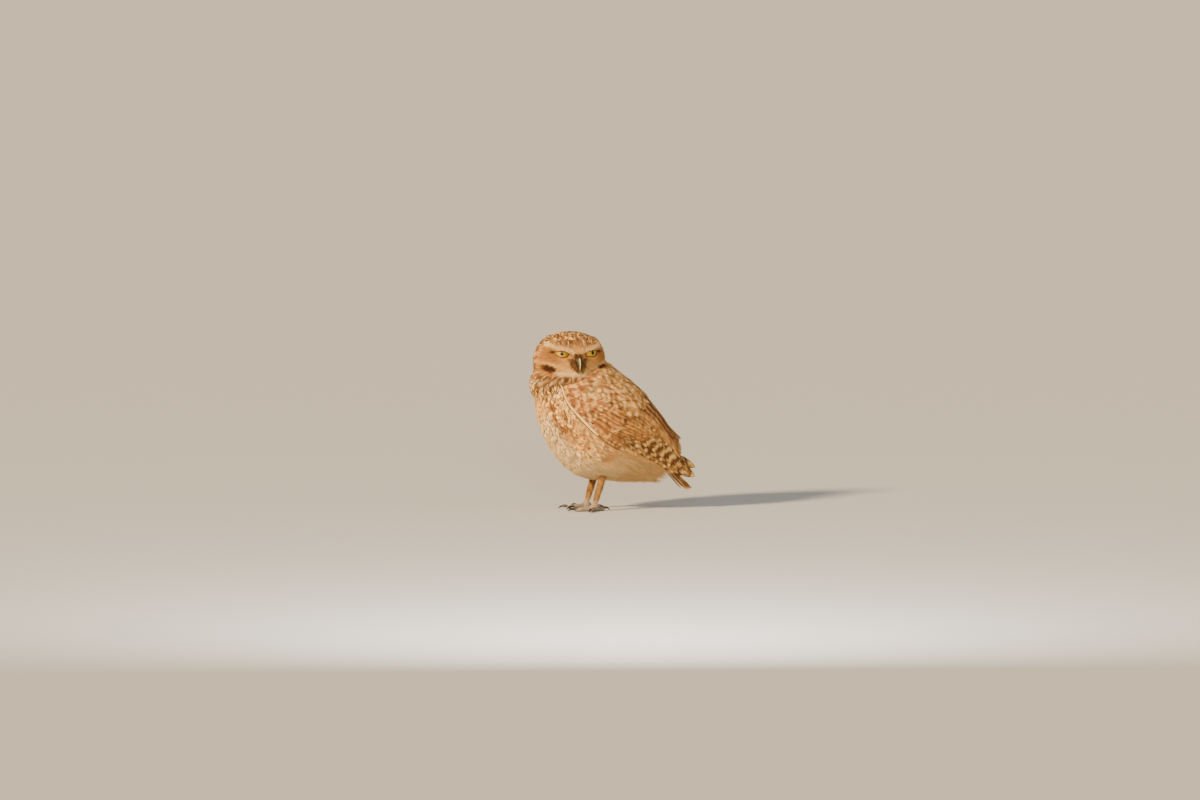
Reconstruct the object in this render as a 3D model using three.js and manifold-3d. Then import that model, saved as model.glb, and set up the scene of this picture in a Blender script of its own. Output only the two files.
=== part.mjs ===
// A burrowing owl at rest on both feet, life size, with its head turned over its left shoulder.
// Millimetres, +Z up. The trunk heads towards -X and is symmetric about the XZ plane; the face looks along -Y.
// "Along" runs down the back on a slanting axis from the shoulders to the tail; "rise" is measured square to it.
import * as THREE from 'three';
import { mergeVertices } from 'three/addons/utils/BufferGeometryUtils.js';
import Module from 'manifold-3d';

const wasm = await Module();
wasm.setup();

const { lerp, clamp, smoothstep, degToRad } = THREE.MathUtils;
const at = (x, y, z) => new THREE.Vector3(x, y, z);

// Driving dimensions
const GAP = 0.35; // left between neighbouring pieces
const AXIS_START = at(-45, 0, 140); // over the shoulders
const AXIS_DIP = degToRad(35.2); // how far the back slopes down towards the tail
const TRUNK_SPAN = [-13, 157]; // breast to the last undertail feathers
const TRUNK_ENDS = { front: 26, rear: 12 }; // lengths over which the trunk rounds off
const HEAD_CENTRE = at(-32, 0, 149);
const HEAD_TURN = degToRad(93); // to the bird's left, from straight ahead
const HEAD_HALF = { wide: 36.5, deep: 32, high: 31 };
const HEAD_SQUARENESS = 2.25; // 2 is an ellipsoid, more has a flatter crown and face
const EYE = { out: 16.1, front: 27, up: 10.5, radius: 8.2, splay: degToRad(17) };
const FACE = { hollow: 4.6, hollowWidth: 9, brow: 1.8, browAbove: 7.5, browTilt: 0.12, billBase: 1.6 };
const BILL = { width: 7.4, depth: 8.6, arc: 9.6, centreFront: 25.6, centreUp: -3.2 };
const UPPER_BILL = { turns: [1.5, -0.32], depthShare: 1 }; // turns are angles along the bill's curve
const LOWER_BILL = { turns: [0.28, -0.42], depthShare: 0.5 };
const NECK = { centre: at(-34.5, 0, 126.5), half: [38.5, 37, 27] };
const HEAD_CUT = { point: at(-31, 0, 139.5), normal: at(-0.2, -0.27, 0.95) };
const NECK_CUT = { point: at(-31, 0, 121), normal: at(-0.42, -0.1, 0.93) };
const WING = { span: [3, 170], thick: [6.5, 2.2], thins: [60, 150], proud: 1.2, rounds: [10, 12] };
const RIGHT_WING = { lift: 9, liftFrom: 118, reach: 3 }; // its tip crosses over the left one's and lies further back
const TAIL = { span: [112, 178], rise: [-9, -17], half: [9, 16.5], thick: [6, 1.8], arch: 2.2 };
const HEEL = { x: 3, height: 46 };
const FOOT = { x: -10, spread: 15.5, ankle: 4.6, padRadius: 5.4, padCentre: 3.2 };
const THIGH = { centre: [1, 27, 51], half: [25, 17.5, 26] };
const TARSUS_RADIUS = [4.6, 3.6];
// Each toe: its bearing from straight ahead in degrees, positive outwards, then its length and its claw's
const TOES = {
  hallux: { bearing: -162, length: 12, claw: 8 },
  inner: { bearing: -26, length: 18, claw: 9.5 },
  middle: { bearing: 6, length: 21, claw: 9.5 },
  outer: { bearing: 62, length: 16.5, claw: 8.5 },
};
const TOE = { radius: 2.7, height: [2.9, 1.8, 1.4], knuckle: 0.08 };
const CLAW = { radius: [1.4, 0.35], overlap: 1.6, height: [2.4, 4.2, 0], hump: 0.62 };

const feathered = (color) => new THREE.MeshStandardMaterial({ color, roughness: 0.9, metalness: 0 });
const horny = (color, roughness) => new THREE.MeshStandardMaterial({ color, roughness, metalness: 0 });
const WING_BROWN = feathered(0x9a6f45);
const HEAD_BUFF = feathered(0xb48a5e);
const BELLY_CREAM = feathered(0xd9b785);
const TAIL_BROWN = feathered(0x7d5836);
const LEG_BUFF = feathered(0xb79468);
const TOE_GREY = horny(0x8b7358, 0.85);
const BILL_HORN = horny(0x8f8a55, 0.45);
const CLAW_DARK = horny(0x241e1a, 0.4);
const IRIS_YELLOW = horny(0xe0b414, 0.1);

const UP = at(0, 0, 1);
const RIGHTWARD = at(0, 1, 0); // the bird's right
const ALONG = at(Math.cos(AXIS_DIP), 0, -Math.sin(AXIS_DIP));
const RISE = at(Math.sin(AXIS_DIP), 0, Math.cos(AXIS_DIP));

// A smooth curve through [where, value] pairs, level beyond its ends.
function through(...pairs) {
  const places = pairs.map((pair) => pair[0]);
  const curve = new THREE.CubicInterpolant(places, pairs.map((pair) => pair[1]), 1);
  return (where) => curve.evaluate(clamp(where, places[0], places[places.length - 1]))[0];
}

// The trunk with its folded wings: rise of the back, of the widest level and of the belly, and half the width
const backAt = through([-13, 22], [20, 35], [55, 35.5], [87, 31.5], [112, 23.5], [139, 13], [157, 8.5], [173, 4]);
const levelAt = through([-13, -6], [40, -14], [80, -17], [120, -13], [157, -9], [173, -5]);
const bellyAt = through([-13, -32], [4, -44], [25, -60], [48, -71], [68, -75], [87, -71.5], [105, -61.5], [157, -27]);
const halfWidthAt = through([-13, 30], [20, 41], [55, 45.5], [87, 43.5], [112, 35], [139, 24], [157, 17], [173, 9]);
// The folded wing's upper edge, as a share of the back's rise, and the rise of its lower edge
const wingTopShare = through([3, -0.15], [14, 0.2], [31, 0.62], [50, 0.84], [72, 0.95], [105, 1], [148, 0.98], [158, 0.8], [170, 0.1]);
const wingEdgeRise = through([3, -12], [12, -19], [38, -28], [68, -32], [104, -27.5], [136, -21], [158, -16.5], [173, -8]);

const onAxis = (along, rise) => AXIS_START.clone().addScaledVector(ALONG, along).addScaledVector(RISE, rise);

// A point of the outline, moved in by inset. Angle 0 is the back's middle, positive towards +Y.
function outlinePoint(along, angle, inset) {
  const level = levelAt(along);
  const half = (Math.cos(angle) > 0 ? backAt(along) - level : level - bellyAt(along)) - inset;
  const sideways = (halfWidthAt(along) - inset) * Math.sin(angle);
  return onAxis(along, level + half * Math.cos(angle)).addScaledVector(RIGHTWARD, sideways);
}

// A sphere's mesh with each vertex placed by place(around, down), both from 0 to 1. Each pole is its ring's middle.
function shaped(columns, rows, place) {
  const geometry = new THREE.SphereGeometry(1, columns, rows);
  const { position } = geometry.attributes;
  for (let row = 0; row <= rows; row++) {
    const ring = Array.from({ length: columns }, (_, column) => place(column / columns, row / rows));
    if (row === 0 || row === rows) {
      const middle = ring.reduce((sum, p) => sum.add(p), at(0, 0, 0)).divideScalar(columns);
      ring.fill(middle);
    }
    for (let column = 0; column <= columns; column++) {
      const p = ring[column % columns];
      position.setXYZ(row * (columns + 1) + column, p.x, p.y, p.z);
    }
  }
  return geometry;
}

// A geometry as a solid whose faces point out.
function solidOf(geometry) {
  const bare = geometry.clone();
  bare.deleteAttribute('normal');
  bare.deleteAttribute('uv');
  const merged = mergeVertices(bare, 1e-3);
  const triVerts = new Uint32Array(merged.index.array);
  const vertProperties = new Float32Array(merged.attributes.position.array);
  const made = new wasm.Manifold(new wasm.Mesh({ numProp: 3, vertProperties, triVerts }));
  if (made.volume() > 0) return made;
  triVerts.reverse();
  return new wasm.Manifold(new wasm.Mesh({ numProp: 3, vertProperties, triVerts }));
}

const largest = (solid) => solid.decompose().reduce((a, b) => (a.volume() > b.volume() ? a : b));

function meshOf(name, solid, material) {
  const { vertProperties, triVerts } = largest(solid).getMesh();
  const geometry = new THREE.BufferGeometry();
  geometry.setAttribute('position', new THREE.BufferAttribute(new Float32Array(vertProperties), 3));
  geometry.setIndex(new THREE.BufferAttribute(new Uint32Array(triVerts), 1));
  const mesh = new THREE.Mesh(geometry, material);
  mesh.name = name;
  return mesh;
}

// An ellipsoid that goes no lower than the floor.
const ellipsoid = (centre, half, columns, rows) =>
  solidOf(
    shaped(columns, rows, (around, down) => {
      const [turn, tip] = [around * 2 * Math.PI, down * Math.PI];
      return at(
        centre.x + half[0] * Math.cos(turn) * Math.sin(tip),
        centre.y + half[1] * Math.sin(turn) * Math.sin(tip),
        Math.max(centre.z + half[2] * Math.cos(tip), 0),
      );
    }),
  );

// A round-ended limb along a curve, no lower than the floor. radiusAt takes the share of the way.
function limb(curve, radiusAt, uprightHint, columns, rows) {
  return solidOf(
    shaped(columns, rows, (around, down) => {
      const share = (1 - Math.cos(down * Math.PI)) / 2;
      const radius = radiusAt(share) * Math.sqrt(Math.sin(down * Math.PI));
      const way = curve.getTangent(share);
      const side = at(0, 0, 0).crossVectors(way, uprightHint).normalize();
      const across = at(0, 0, 0).crossVectors(side, way);
      const turn = around * 2 * Math.PI;
      const p = curve.getPoint(share);
      p.addScaledVector(side, radius * Math.cos(turn)).addScaledVector(across, radius * Math.sin(turn));
      p.z = Math.max(p.z, 0);
      return p;
    }),
  );
}

// The head's own directions and places
const FRONT = at(-Math.cos(HEAD_TURN), -Math.sin(HEAD_TURN), 0);
const LEFTWARD = at(0, 0, 0).crossVectors(UP, FRONT); // the bird's own left, as it looks out of the face

const headPoint = (left, front, up) =>
  HEAD_CENTRE.clone().addScaledVector(LEFTWARD, left).addScaledVector(FRONT, front).addScaledVector(UP, up);

const hump = (distance, width) => Math.exp(-((distance / width) ** 2));

// How far the face stands out of its plain round: eye hollows under a brow, and the bill's base.
function faceRelief(left, up) {
  const fromEye = Math.hypot(Math.abs(left) - EYE.out, up - EYE.up);
  const browUp = EYE.up + FACE.browAbove + FACE.browTilt * (Math.abs(left) - EYE.out);
  const brow = hump(up - browUp, 4) * hump(Math.abs(left) - EYE.out, 13);
  const base = hump(Math.hypot(left, up * 0.8 - 2.4), 7);
  return FACE.brow * brow + FACE.billBase * base - FACE.hollow * hump(fromEye, FACE.hollowWidth);
}

// The head's mesh has its first pole in the middle of the face, so that its rings are closest there.
function headSolid() {
  const { wide, deep, high } = HEAD_HALF;
  const power = HEAD_SQUARENESS;
  return solidOf(
    shaped(26, 18, (around, down) => {
      const [turn, tip] = [around * 2 * Math.PI, down * Math.PI];
      const ray = at(Math.cos(turn) * Math.sin(tip), Math.cos(tip), Math.sin(turn) * Math.sin(tip));
      const spread = Math.abs(ray.x / wide) ** power + Math.abs(ray.y / deep) ** power + Math.abs(ray.z / high) ** power;
      ray.multiplyScalar(spread ** (-1 / power));
      const relief = smoothstep(ray.y, 8, 24) * faceRelief(ray.x, ray.z);
      return headPoint(ray.x, ray.y + relief, ray.z);
    }),
  );
}

// side is 1 for the bird's right, which is +Y on its trunk, and -1 for its left.
function eyeSolid(side, grow) {
  const centre = headPoint(
    -side * (EYE.out - EYE.radius * Math.sin(EYE.splay)),
    EYE.front - EYE.radius * Math.cos(EYE.splay),
    EYE.up,
  );
  return ellipsoid(centre, Array(3).fill(EYE.radius + grow), 14, 10);
}

// The bill is a hooked horn that curves down over an arc.
function billSolid({ turns, depthShare }, grow) {
  const { width, depth, arc, centreFront, centreUp } = BILL;
  return solidOf(
    shaped(10, 9, (around, down) => {
      const share = (1 - Math.cos(down * Math.PI)) / 2;
      const turn = lerp(...turns, share);
      const rounding = Math.min(down * 4, 1) ** 0.35;
      const body = (1 - share) ** 0.62 * rounding;
      const edge = around * 2 * Math.PI;
      const radial = arc + ((depth * depthShare * body) / 2 + grow) * Math.cos(edge);
      const left = ((width * body) / 2 + grow) * Math.sin(edge);
      return headPoint(left, centreFront + radial * Math.cos(turn), centreUp + radial * Math.sin(turn));
    }),
  );
}

// A quarter circle's rise from 0 to 1, flat after it.
function quarterRound(share) {
  const left = 1 - clamp(share, 0, 1);
  return Math.sqrt(1 - left * left);
}

function trunkSolid() {
  const [first, last] = TRUNK_SPAN;
  return solidOf(
    shaped(22, 18, (around, down) => {
      const along = lerp(first, last, (1 - Math.cos(down * Math.PI)) / 2);
      const fullness = quarterRound((along - first) / TRUNK_ENDS.front) * quarterRound((last - along) / TRUNK_ENDS.rear);
      // The rear end closes low down, under the tail.
      const endRise = lerp(levelAt(along), bellyAt(along), 0.6 * smoothstep(along, 80, 120));
      return onAxis(along, endRise).lerp(outlinePoint(along, around * 2 * Math.PI, 0), fullness);
    }),
  );
}

// Where a slab's section lies at a step around it: first over its outer face, then back under its inner one.
function slabStep(around, columns) {
  const step = Math.round(around * columns);
  const last = columns / 2 - 1;
  return step <= last ? { outer: true, across: step / last } : { outer: false, across: (columns - 1 - step) / last };
}

const slabEnds = (along, first, last, firstRound, lastRound) =>
  Math.sqrt(quarterRound((along - first) / firstRound) * quarterRound((last - along) / lastRound));

function wingSolid(side, grow) {
  const columns = 14;
  const first = WING.span[0] - grow;
  const last = WING.span[1] + (side > 0 ? RIGHT_WING.reach : 0) + grow;
  return solidOf(
    shaped(columns, 18, (around, down) => {
      const along = lerp(first, last, (1 - Math.cos(down * Math.PI)) / 2);
      const level = levelAt(along);
      const edge = wingEdgeRise(along);
      const top = Math.acos(Math.min(wingTopShare(along), 1));
      const low = Math.acos((edge - level) / (edge < level ? level - bellyAt(along) : backAt(along) - level));
      const { outer, across } = slabStep(around, columns);
      const ends = slabEnds(along, first, last, ...WING.rounds);
      const reach = ((low - top) / 2) * ends + grow / halfWidthAt(along);
      const angle = (top + low) / 2 + reach * (2 * across - 1);
      const thick = lerp(...WING.thick, smoothstep(along, ...WING.thins));
      const inset = outer ? -WING.proud * ends - grow : (thick - WING.proud) * ends + grow;
      const lift = side > 0 ? RIGHT_WING.lift * smoothstep(along, RIGHT_WING.liftFrom, last) : 0;
      return outlinePoint(along, side * angle, inset).addScaledVector(RISE, lift);
    }),
  );
}

// The folded tail is one slab, arched across.
function tailSolid(grow) {
  const columns = 12;
  const [first, last] = [TAIL.span[0] - grow, TAIL.span[1] + grow];
  return solidOf(
    shaped(columns, 10, (around, down) => {
      const share = (1 - Math.cos(down * Math.PI)) / 2;
      const along = lerp(first, last, share);
      const { outer, across } = slabStep(around, columns);
      const ends = slabEnds(along, first, last, 6, 6);
      const sideways = (lerp(...TAIL.half, share) * ends + grow) * (1 - 2 * across);
      const arch = TAIL.arch * (sideways / TAIL.half[1]) ** 2;
      const away = ((lerp(...TAIL.thick, Math.sqrt(share)) / 2) * ends + grow) * (outer ? 1 : -1);
      return onAxis(along, lerp(...TAIL.rise, share) - arch + away).addScaledVector(RIGHTWARD, sideways);
    }),
  );
}

// One half of space, behind a plane, as a large box.
function behindPlane({ point, normal }, drop) {
  const size = 400;
  const box = new THREE.BoxGeometry(size, size, size);
  box.translate(0, 0, -size / 2 - drop);
  box.applyQuaternion(new THREE.Quaternion().setFromUnitVectors(UP, normal.clone().normalize()));
  box.translate(point.x, point.y, point.z);
  return solidOf(box);
}

const footPlace = (side, height) => at(FOOT.x, side * FOOT.spread, height);

function tarsusSolid(side, grow) {
  const path = new THREE.QuadraticBezierCurve3(
    at(HEEL.x, side * FOOT.spread, HEEL.height),
    at(lerp(HEEL.x, FOOT.x, 0.6), side * FOOT.spread, lerp(HEEL.height, FOOT.ankle, 0.5)),
    footPlace(side, FOOT.ankle),
  );
  return limb(path, (share) => lerp(...TARSUS_RADIUS, Math.sqrt(share)) + grow, RIGHTWARD, 8, 7);
}

function padSolid(side, grow) {
  const { padRadius, padCentre } = FOOT;
  return ellipsoid(footPlace(side, padCentre), [padRadius + grow, padRadius + grow, padRadius * 0.8 + grow], 10, 7);
}

const toeWay = (side, { bearing }) => at(-Math.cos(degToRad(bearing)), side * Math.sin(degToRad(bearing)), 0);

function toeSolid(side, toe, grow) {
  const [root, middle, tip] = [0, 0.5, 1].map((share, i) =>
    footPlace(side, TOE.height[i]).addScaledVector(toeWay(side, toe), toe.length * share),
  );
  const knuckles = (share) => 1 + TOE.knuckle * Math.cos(share * 3 * 2 * Math.PI);
  const radiusAt = (share) => TOE.radius * lerp(1.08, 0.86, share) * knuckles(share) + grow;
  return limb(new THREE.QuadraticBezierCurve3(root, middle, tip), radiusAt, UP, 7, 8);
}

function clawSolid(side, toe) {
  const [root, middle, tip] = [0, CLAW.hump, 1].map((share, i) =>
    footPlace(side, CLAW.height[i]).addScaledVector(toeWay(side, toe), toe.length - CLAW.overlap + toe.claw * share),
  );
  const radiusAt = (share) => lerp(...CLAW.radius, share);
  return limb(new THREE.QuadraticBezierCurve3(root, middle, tip), radiusAt, UP, 5, 5);
}

const owl = new THREE.Group();
const sides = { left: -1, right: 1 };

// Head, neck and trunk are one body, cut across twice.
const whole = headSolid().add(ellipsoid(NECK.centre, NECK.half, 20, 12)).add(trunkSolid());
let head = whole.subtract(behindPlane(HEAD_CUT, 0));
let neck = whole.intersect(behindPlane(HEAD_CUT, GAP)).subtract(behindPlane(NECK_CUT, 0));
let trunk = whole.intersect(behindPlane(NECK_CUT, GAP));

for (const part of [UPPER_BILL, LOWER_BILL]) head = head.subtract(billSolid(part, GAP));
owl.add(meshOf('bill_upper', billSolid(UPPER_BILL, 0), BILL_HORN));
owl.add(meshOf('bill_lower', billSolid(LOWER_BILL, 0).subtract(billSolid(UPPER_BILL, GAP)), BILL_HORN));
for (const [name, side] of Object.entries(sides)) {
  head = head.subtract(eyeSolid(side, GAP));
  owl.add(meshOf(`eye_${name}`, eyeSolid(side, 0), IRIS_YELLOW));
}

// The folded wings lie in the trunk's and the neck's sides, the right one over the left one behind.
const wings = wingSolid(sides.left, GAP).add(wingSolid(sides.right, GAP));
head = head.subtract(wings);
neck = neck.subtract(wings);
trunk = trunk.subtract(wings).subtract(tailSolid(GAP));
owl.add(meshOf('wing_left', wingSolid(sides.left, 0), WING_BROWN));
owl.add(meshOf('wing_right', wingSolid(sides.right, 0).subtract(wingSolid(sides.left, GAP)), WING_BROWN));
owl.add(meshOf('tail', tailSolid(0).subtract(wings), TAIL_BROWN));

for (const [name, side] of Object.entries(sides)) {
  const thighCentre = at(THIGH.centre[0], side * THIGH.centre[1], THIGH.centre[2]);
  const wideTarsus = tarsusSolid(side, GAP);
  const thigh = trunk.intersect(ellipsoid(thighCentre, THIGH.half, 14, 9)).subtract(wideTarsus);
  owl.add(meshOf(`thigh_${name}`, thigh, BELLY_CREAM));
  trunk = trunk.subtract(ellipsoid(thighCentre, THIGH.half.map((r) => r + GAP), 14, 9)).subtract(wideTarsus);

  owl.add(meshOf(`tarsus_${name}`, tarsusSolid(side, 0).subtract(padSolid(side, GAP)), LEG_BUFF));
  owl.add(meshOf(`foot_${name}`, padSolid(side, 0), TOE_GREY));
  let taken = padSolid(side, GAP).add(wideTarsus);
  for (const [toeName, toe] of Object.entries(TOES)) {
    const wideToe = toeSolid(side, toe, GAP);
    owl.add(meshOf(`toe_${toeName}_${name}`, toeSolid(side, toe, 0).subtract(taken), TOE_GREY));
    owl.add(meshOf(`claw_${toeName}_${name}`, clawSolid(side, toe).subtract(wideToe), CLAW_DARK));
    taken = taken.add(wideToe);
  }
}
owl.add(meshOf('trunk', trunk, BELLY_CREAM));
owl.add(meshOf('neck', neck, HEAD_BUFF));
owl.add(meshOf('head', head, HEAD_BUFF));

// The origin is under the middle of the bird's box, on the floor.
const box = new THREE.Box3().setFromObject(owl);
const middle = box.getCenter(at(0, 0, 0));
owl.position.set(-middle.x, -middle.y, -box.min.z);

export default owl;
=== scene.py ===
"""The looks of a burrowing owl that stands with folded wings and its head turned to its left.

Everything is in metres, in the CAD model's frame. One skin replaces the nodes of flesh, and feathers of
solid mesh lie over it: tufts and vanes placed by a field over the body, and rows of vanes on the wings and
the tail. "Along" runs down the back from the shoulders to the tail, and "rise" is measured square to it.
"""
import math

import bmesh
import bpy
import numpy as np
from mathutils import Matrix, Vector
from mathutils.bvhtree import BVHTree


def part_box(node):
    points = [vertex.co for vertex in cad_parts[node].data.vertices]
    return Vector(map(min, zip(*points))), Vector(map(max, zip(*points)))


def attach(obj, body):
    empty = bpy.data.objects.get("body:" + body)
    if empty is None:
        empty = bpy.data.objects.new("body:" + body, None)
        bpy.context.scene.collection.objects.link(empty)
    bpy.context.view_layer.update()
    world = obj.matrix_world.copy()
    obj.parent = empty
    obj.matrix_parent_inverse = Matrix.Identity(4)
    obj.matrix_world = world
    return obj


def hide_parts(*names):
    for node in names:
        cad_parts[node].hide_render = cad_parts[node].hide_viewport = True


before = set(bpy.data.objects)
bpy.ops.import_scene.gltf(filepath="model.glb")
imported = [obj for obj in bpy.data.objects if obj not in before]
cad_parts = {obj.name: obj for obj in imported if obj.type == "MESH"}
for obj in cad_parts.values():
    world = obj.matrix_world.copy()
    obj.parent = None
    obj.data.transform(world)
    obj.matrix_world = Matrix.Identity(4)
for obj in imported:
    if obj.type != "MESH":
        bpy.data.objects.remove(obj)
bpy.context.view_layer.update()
rng = np.random.default_rng(7)

MM = 0.001
SIDES = {"left": -1, "right": 1}
# Each toe's bearing from straight ahead in degrees, positive outwards, then its reach and its claw's
TOES = {"hallux": (-162, 12, 8), "inner": (-26, 18, 9.5), "middle": (6, 21, 9.5), "outer": (62, 16.5, 8.5)}

# The design frame of the CAD model: its shapes are stated from under the shoulders, before it was centred.
FOOT_X = -0.010
FOOT_SPREAD = 0.0155
foot_low, foot_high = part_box("foot_left")
ORIGIN = np.array([(foot_low[0] + foot_high[0]) / 2 - FOOT_X, 0, 0])
AXIS_START = ORIGIN + [-0.045, 0, 0.140]
AXIS_DIP = math.radians(35.2)
ALONG = np.array([math.cos(AXIS_DIP), 0, -math.sin(AXIS_DIP)])
RISE = np.array([math.sin(AXIS_DIP), 0, math.cos(AXIS_DIP)])
Y_AXIS = np.array([0.0, 1.0, 0.0])
LEVEL_BACK = np.array([0.98, 0.0, -0.2])
DOWN = np.array([0.0, 0.0, -1.0])
HEAD_CENTRE = ORIGIN + [-0.032, 0, 0.149]
HEAD_TURN = math.radians(93)
FRONT = np.array([-math.cos(HEAD_TURN), -math.sin(HEAD_TURN), 0])
LEFTWARD = np.cross([0, 0, 1], FRONT)
HEAD_AXES = np.array([LEFTWARD, FRONT, [0, 0, 1]])
EYE_OUT, EYE_FRONT, EYE_UP, EYE_RADIUS = 16.1, 27.0, 10.5, 8.2
EYE_SPLAY = math.radians(17)


# Small helpers on arrays

def unit(v):
    return v / np.maximum(np.linalg.norm(v, axis=-1, keepdims=True), 1e-12)


def mix(a, b, share):
    return a + (b - a) * share


def ramp(x, low, high):
    t = np.clip((np.asarray(x, float) - low) / (high - low), 0, 1)
    return t * t * (3 - 2 * t)


def bump_at(x, centre, width):
    return np.exp(-(((x - centre) / width) ** 2))


def per_feather(values):
    """One value for each feather, ready to meet arrays of (feather, row, corner)."""
    return values[:, None, None]


def circle(corners):
    """Angles round a ring of that many corners."""
    return np.linspace(0, 2 * np.pi, corners, endpoint=False)


def bezier(a, b, c, v):
    """Places on a curve from a to c that is drawn towards b."""
    return a * (1 - v) ** 2 + 2 * b * v * (1 - v) + c * v**2


def polar_way(turn, polar):
    """Unit ways at an angle round an axis and an angle off it."""
    return np.stack([np.cos(turn) * np.sin(polar), np.sin(turn) * np.sin(polar), np.cos(polar)], axis=-1)


def through(*pairs):
    """A smooth curve through (where, value) pairs, level beyond its ends."""
    xs, ys = np.array(pairs, float).T
    slopes = np.gradient(ys, xs)

    def curve(x):
        x = np.clip(x, xs[0], xs[-1])
        i = np.clip(np.searchsorted(xs, x) - 1, 0, len(xs) - 2)
        h = xs[i + 1] - xs[i]
        t = (x - xs[i]) / h
        start = (2 * t**3 - 3 * t**2 + 1) * ys[i] + (t**3 - 2 * t**2 + t) * h * slopes[i]
        return start + (3 * t**2 - 2 * t**3) * ys[i + 1] + (t**3 - t**2) * h * slopes[i + 1]

    return curve


def noise(points, size, seed=0):
    """Smooth value noise from 0 to 1 at points, with features of that size."""
    p = np.asarray(points, float) / size + seed * 17.31
    cell = np.floor(p).astype(np.int64)
    f = p - cell
    f = f * f * (3 - 2 * f)
    total = 0.0
    for corner in np.ndindex(2, 2, 2):
        c = cell + corner
        h = (c[..., 0] * 73856093) ^ (c[..., 1] * 19349663) ^ (c[..., 2] * 83492791) ^ (seed * 2654435761)
        h = (h ^ (h >> 13)) * 1274126177 & 0xFFFFFF
        weight = np.prod(np.where(np.array(corner) == 1, f, 1 - f), axis=-1)
        total = total + weight * (h / 0xFFFFFF)
    return total


def colour(hexcode):
    """A linear colour from an sRGB hex code."""
    c = np.array([int(hexcode[i:i + 2], 16) / 255 for i in (0, 2, 4)])
    return np.where(c <= 0.04045, c / 12.92, ((c + 0.055) / 1.055) ** 2.4)


# The plumage colours carry part of the low sun's warm tint: painted light
CROWN_BROWN = colour("875e3b")
DARK_BROWN = colour("4d2c17")
DARK_RED_BROWN = colour("4f2610")
MID_BROWN = colour("9d622f")
WARM_BROWN = colour("bb7638")
OLIVE_TAN = colour("b9853f")
TAN = colour("db994b")
BUFF = colour("efae5a")
PALE_BUFF = colour("fabf6a")
WHITE_BUFF = colour("ffd892")
SPOT_BUFF = colour("ffc775")
CREAM = colour("fbc775")
CINNAMON = colour("cf7d34")
GREY_WHITE = colour("e8c489")
FLIGHT_BROWN = colour("845125")
FLIGHT_BUFF = colour("eead5c")
RIM_DARK = colour("1c120c")
TOE_GREY = colour("6f5f4e")
TOE_PALE = colour("a08c72")
BILL_PALE = colour("dccb8c")
# the colour of the bill's sides in painted shade
BILL_SHADE = colour("4a3d29")
CLAW_BASE = colour("4c4238")
CLAW_TIP = colour("1b1714")
IRIS_YELLOW = colour("b48a00")
IRIS_AMBER = colour("8a5800")
IRIS_PALE = colour("c8a200")
PUPIL_BLACK = colour("060505")


# The body's outline, as the CAD model has it, in millimetres

back_at = through((-13, 22), (20, 35), (55, 35.5), (87, 31.5), (112, 23.5), (139, 13), (157, 8.5), (173, 4))
level_at = through((-13, -6), (40, -14), (80, -17), (120, -13), (157, -9), (173, -5))
belly_at = through((-13, -32), (4, -44), (25, -60), (48, -71), (68, -75), (87, -71.5), (105, -61.5),
                   (157, -27))
width_at = through((-13, 30), (20, 41), (55, 45.5), (87, 43.5), (112, 35), (139, 24), (157, 17), (173, 9))
wing_top_at = through((3, -0.15), (14, 0.2), (31, 0.62), (50, 0.84), (72, 0.95), (105, 1), (148, 0.98),
                      (158, 0.8), (170, 0.1))
wing_edge_at = through((3, -12), (12, -19), (38, -28), (68, -32), (104, -27.5), (136, -21), (158, -16.5),
                       (173, -8))
WING_SPAN = (3, 170)  # from a wing's first to its last place along the axis
WING_PROUD = 1.2  # how far the wings stand out from the body's outline
WINGS_MEET = 92  # from here to the rear the wings hide the back
RIGHT_WING_LIFT = 9
RIGHT_WING_LIFTS = (118, 173)  # where its tip rises over the left one's, along the axis


def on_axis(along, rise, side):
    """A place from millimetres along, of rise and to the bird's right."""
    along, rise, side = np.broadcast_arrays(along, rise, side)
    return AXIS_START + MM * (along[..., None] * ALONG + rise[..., None] * RISE + side[..., None] * Y_AXIS)


def outline(along, angle, out):
    """A place on the body's outline. Angle 0 is the back's middle, positive to the bird's right."""
    level = level_at(along)
    half = np.where(np.cos(angle) > 0, back_at(along) - level, level - belly_at(along)) + out
    return on_axis(along, level + half * np.cos(angle), (width_at(along) + out) * np.sin(angle))


def body_place(points):
    """(along, angle) of points, in millimetres and radians."""
    rel = (points - AXIS_START) / MM
    along = rel @ ALONG
    return along, np.arctan2(rel[..., 1], rel @ RISE - level_at(along))


def head_place(points):
    """(left, front, up) of points from the head's centre, in millimetres."""
    return (points - HEAD_CENTRE) / MM @ HEAD_AXES.T


def head_point(left, front, up):
    place = np.stack(np.broadcast_arrays(left, front, up), axis=-1)
    return HEAD_CENTRE + MM * place @ HEAD_AXES


def wing_edges(along):
    """The angles of a folded wing's upper and lower edge."""
    level = level_at(along)
    edge = wing_edge_at(along)
    top = np.arccos(np.clip(wing_top_at(along), -1, 1))
    low = np.arccos((edge - level) / np.where(edge < level, level - belly_at(along), back_at(along) - level))
    return top, low


def wing_point(along, share, side):
    """A place on a folded wing: share runs from its upper edge, 0, to its lower one, 1."""
    top, low = wing_edges(along)
    lift = RIGHT_WING_LIFT * ramp(along, *RIGHT_WING_LIFTS) * (side > 0)
    return outline(along, side * mix(top, low, share), WING_PROUD) + MM * lift[..., None] * RISE


# Meshes

def linked(name, data):
    """An object with that data in the scene."""
    obj = bpy.data.objects.new(name, data)
    bpy.context.collection.objects.link(obj)
    return obj


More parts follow.
